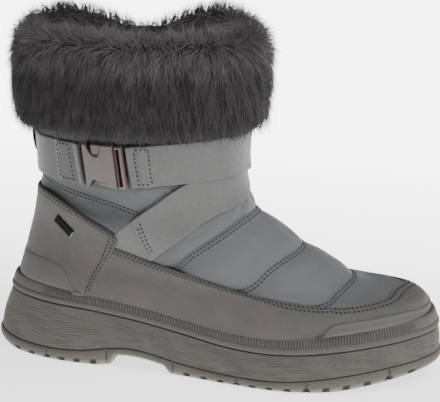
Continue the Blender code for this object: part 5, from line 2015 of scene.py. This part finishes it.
def make_fur(sizes):
    """Pile of tapered ribbons, drawn together in clumps.

    At s from 0 to 1 along it a fibre is at root + (clump's root - root) * pull * s ** 1.5
    + length * (direction * s + droop * s * s). The direction is a mix of outward, combed
    down either side of the crest, a slow sway and chance. Its shade grows with s; painted light
    raises it over the ridge and inside the cuff, and painted shade lowers it at the hem.
    """
    pick = np.random.default_rng(8)
    clumps = sizes.fibres // CLUMP
    turn = (np.arange(clumps) * 0.6180339887 + 0.003 * pick.normal(size=clumps)) % 1.0
    share = np.clip((np.arange(clumps) + pick.uniform(0, 1, clumps)) / clumps, 0.0, 1.0)
    length = 1.0 + 0.16 * pick.normal(size=clumps)
    tone = pick.normal(size=clumps)
    lean = 0.10 * pick.normal(size=clumps)
    side = 0.24 * pick.normal(size=clumps)
    own = np.repeat(np.arange(clumps), CLUMP)
    count = len(own)
    strand_turn = (turn[own] + CLUMP_WIDE / PILE_AROUND * pick.normal(size=count)) % 1.0
    strand_share = share[own] + CLUMP_WIDE / PILE_OVER * pick.normal(size=count)
    strand_share = np.clip(strand_share, 0.0, 1.0)
    root, normal, tangent = pile_frame(strand_turn, strand_share)
    heart, _, _ = pile_frame(turn[own], share[own])
    aside = unit(np.cross(tangent, normal))
    wander = 0.06 * ripple(root, 0.03, 33) + 0.035 * tone[own]
    top = np.tanh((PILE_CREST + wander - strand_share) / 0.16)
    hem = 1.0 - ease(0.0, 0.16, strand_share)
    near_crest = dent(strand_share - PILE_CREST, 0.12)
    outward_part = 0.62 + 0.5 * near_crest - 0.30 * hem
    outward_part = outward_part + lean[own] + 0.10 * pick.normal(size=count)
    sway = 0.34 * ripple(root, 0.05, 31) + side[own] + 0.15 * pick.normal(size=count)
    fan = 1.1 * (strand_turn - 0.27) * (strand_turn < 0.5)
    direction = unit(normal * outward_part[:, None] - tangent * top[:, None]
                     + aside * (sway - fan)[:, None])
    droop = np.array([0.0, 0.0, -0.22]) * (1.0 - 0.5 * near_crest)[:, None]
    long = sizes.pile * length[own] * (1.0 + 0.17 * pick.normal(size=count))
    long = np.clip(long * (1.0 - 0.54 * hem), PILE_SHORTEST, PILE_LONGEST)
    s = np.array([0.0, 0.55, 1.0])[None, :, None]
    pull = (0.42 - 0.22 * dent(strand_share - PILE_CREST, 0.2))[:, None, None]
    way = direction[:, None] * s + droop[:, None] * s * s
    line = root[:, None] + (heart - root)[:, None] * pull * s ** 1.5 + long[:, None, None] * way
    spin = pick.uniform(-1.1, 1.1, count)[:, None]
    flat = unit(np.cross(direction, normal))
    flat = flat * np.cos(spin) + np.cross(direction, flat) * np.sin(spin)
    wide = FIBRE_WIDE * np.array([1.0, 0.8, 0.12])[None, :, None]
    points = np.stack([line - flat[:, None] * wide / 2, line + flat[:, None] * wide / 2], 2)
    quads = np.array([(0, 1, 3, 2), (2, 3, 5, 4)])
    # painted light over the top ridge where the light falls, and over the cuff's inside
    ridge = 0.75 * ease(0.42, 0.62, strand_share) + 0.25 * ease(0.6, 0.7, strand_share)
    # shade: root to tip and chance, plus painted light on the ridge and painted shade at the hem,
    # under the cuff's edge
    shade = 0.30 * s[..., 0] ** 1.2 + (0.08 * tone[own] + 0.10 * pick.normal(size=count)
                                       + ridge - 0.2 * hem)[:, None]
    shade = np.repeat(np.clip(shade, 0.0, 1.0), 2, axis=1)
    for number, name in enumerate(("outer_heel", "outer_front", "inner_front", "inner_heel")):
        mine = np.floor(turn[own] * 4.0).astype(int) == number
        some = points[mine].reshape(-1, 3)
        faces = (quads[None] + 6 * np.arange(mine.sum())[:, None, None]).reshape(-1, 4)
        make_piece(f"fur_{name}", some, [faces], finish_of("fur"),
                   values={"shade": shade[mine]})


# --- stage --------------------------------------------------------------------
def make_stage(stage):
    """Pale floor, two soft area lights and an even sky, and the camera."""
    signs = ((-1, -1), (1, -1), (1, 1), (-1, 1))
    corners = [(FLOOR_HALF * x, FLOOR_HALF * y, 0.0) for x, y in signs]
    mesh = bpy.data.meshes.new("floor")
    mesh.from_pydata(corners, [], [(0, 1, 2, 3)])
    floor = bpy.data.objects.new("floor", mesh)
    bpy.context.scene.collection.objects.link(floor)
    made = Finish("floor_paper", tuple(stage.floor), 0.9)
    made.shader.inputs["Emission Color"].default_value = (1.0, 1.0, 1.0, 1.0)
    where = made.place()
    split = made.add("ShaderNodeSeparateXYZ")
    made.join(where, split.inputs["Vector"])
    glow = made.spread(split.outputs["Y"], 0.0, GLOW_RISE, stage.glow, stage.far_glow)
    made.join(glow, made.shader.inputs["Emission Strength"])
    made.bump((made.noise(where, 400.0, 2.0), 0.00004))
    mesh.materials.append(made.material)
    target = Vector(CAMERA_TARGET)
    for name, power, place, side in (("key", stage.key, KEY_PLACE, 1.3),
                                     ("fill", stage.fill, FILL_PLACE, 1.2),
                                     ("rim_light", stage.back, BACK_PLACE, 0.9)):
        light = bpy.data.lights.new(name, "AREA")
        light.energy = power
        light.size = side
        lamp = bpy.data.objects.new(name, light)
        lamp.location = place
        lamp.rotation_euler = (target - lamp.location).to_track_quat("-Z", "Y").to_euler()
        bpy.context.scene.collection.objects.link(lamp)
    sky = bpy.data.worlds.new("even_sky")
    sky.use_nodes = True
    ground = sky.node_tree.nodes["Background"]
    ground.inputs["Color"].default_value = (1.0, 1.0, 1.0, 1.0)
    ground.inputs["Strength"].default_value = stage.sky
    bpy.context.scene.world = sky
    lens = bpy.data.cameras.new("camera")
    lens.lens = CAMERA_LENS
    lens.sensor_width = 36.0
    lens.shift_x, lens.shift_y = CAMERA_SHIFT
    lens.clip_end = 60.0
    camera = bpy.data.objects.new("camera", lens)
    flat = math.cos(stage.rise)
    back = Vector((math.sin(stage.turn) * flat, -math.cos(stage.turn) * flat,
                   math.sin(stage.rise)))
    camera.location = target + back * stage.away
    camera.rotation_euler = (-back).to_track_quat("-Z", "Y").to_euler()
    bpy.context.scene.collection.objects.link(camera)
    bpy.context.scene.camera = camera


# --- operators ----------------------------------------------------------------
class BootOperator:
    """What every piece's operator does: run its steps, each with the sizes at hand."""

    bl_options = {"REGISTER"}
    steps = ()

    def execute(self, context):
        """Build the piece or pieces."""
        for step in self.steps:
            step(context.scene.boot_sizes)
        return {"FINISHED"}


class BOOT_OT_stage(bpy.types.Operator):
    """Floor, lights and camera"""

    bl_idname = "boot.stage"
    bl_label = "Stage"

    def execute(self, context):
        """Build the stage."""
        make_stage(context.scene.boot_stage)
        return {"FINISHED"}


class BOOT_OT_outsole(BootOperator, bpy.types.Operator):
    """Rubber bottom with its lugs"""

    bl_idname = "boot.outsole"
    bl_label = "Outsole"
    steps = (make_outsole,)


class BOOT_OT_midsole(BootOperator, bpy.types.Operator):
    """Foam wedge"""

    bl_idname = "boot.midsole"
    bl_label = "Midsole"
    steps = (make_midsole,)


class BOOT_OT_rim(BootOperator, bpy.types.Operator):
    """Foxing band with its ribs, heel cup and toe bumper"""

    bl_idname = "boot.rim"
    bl_label = "Foxing band"
    steps = (make_rim,)


class BOOT_OT_inside(BootOperator, bpy.types.Operator):
    """Footbed and lining"""

    bl_idname = "boot.inside"
    bl_label = "Footbed and lining"
    steps = (make_footbed, make_lining)


class BOOT_OT_quilting(BootOperator, bpy.types.Operator):
    """Quilted shell and its seams"""

    bl_idname = "boot.quilting"
    bl_label = "Quilting"
    steps = (make_quilting, make_shell_seams)


class BOOT_OT_panels(BootOperator, bpy.types.Operator):
    """Nubuck panels, their seams and the small flag"""

    bl_idname = "boot.panels"
    bl_label = "Panels"
    steps = (make_panels, make_panel_seams, make_tag)


class BOOT_OT_straps(BootOperator, bpy.types.Operator):
    """Both straps, their seams and the pull loop"""

    bl_idname = "boot.straps"
    bl_label = "Straps"
    steps = (make_belt, make_instep_strap, make_strap_seams, make_pull_loop)


class BOOT_OT_buckle(BootOperator, bpy.types.Operator):
    """Side-release buckle"""

    bl_idname = "boot.buckle"
    bl_label = "Buckle"
    steps = (make_buckle,)


class BOOT_OT_fur(BootOperator, bpy.types.Operator):
    """Fur collar: backing and pile"""

    bl_idname = "boot.fur"
    bl_label = "Fur"
    steps = (make_fur_backing, make_fur)


OPERATORS = (BOOT_OT_stage, BOOT_OT_outsole, BOOT_OT_midsole, BOOT_OT_rim, BOOT_OT_inside,
             BOOT_OT_quilting, BOOT_OT_panels, BOOT_OT_straps, BOOT_OT_buckle, BOOT_OT_fur)


class BOOT_PT_pieces(bpy.types.Panel):
    """Boot pieces and their settings"""

    bl_label = "Boot pieces"
    bl_idname = "BOOT_PT_pieces"
    bl_space_type = "VIEW_3D"
    bl_region_type = "UI"
    bl_category = "Boot"

    def draw(self, context):
        """List the settings and the operators."""
        layout = self.layout
        for settings in (context.scene.boot_sizes, context.scene.boot_colours,
                         context.scene.boot_stage):
            box = layout.box()
            for key in settings.bl_rna.properties.keys():
                if key not in ("rna_type", "name"):
                    box.prop(settings, key)
        for operator in OPERATORS:
            layout.operator(operator.bl_idname)


CLASSES = (BootSizes, BootColours, StageSettings, *OPERATORS, BOOT_PT_pieces)


def register():
    """Add the classes and the scene's settings."""
    for made in CLASSES:
        bpy.utils.register_class(made)
    bpy.types.Scene.boot_sizes = PointerProperty(type=BootSizes)
    bpy.types.Scene.boot_colours = PointerProperty(type=BootColours)
    bpy.types.Scene.boot_stage = PointerProperty(type=StageSettings)


def unregister():
    """Take them away again."""
    for key in ("boot_stage", "boot_colours", "boot_sizes"):
        delattr(bpy.types.Scene, key)
    for made in reversed(CLASSES):
        bpy.utils.unregister_class(made)


def main():
    """Build everything."""
    register()
    for operator in OPERATORS:
        group, name = operator.bl_idname.split(".")
        getattr(getattr(bpy.ops, group), name)()


if __name__ == "__main__":
    main()
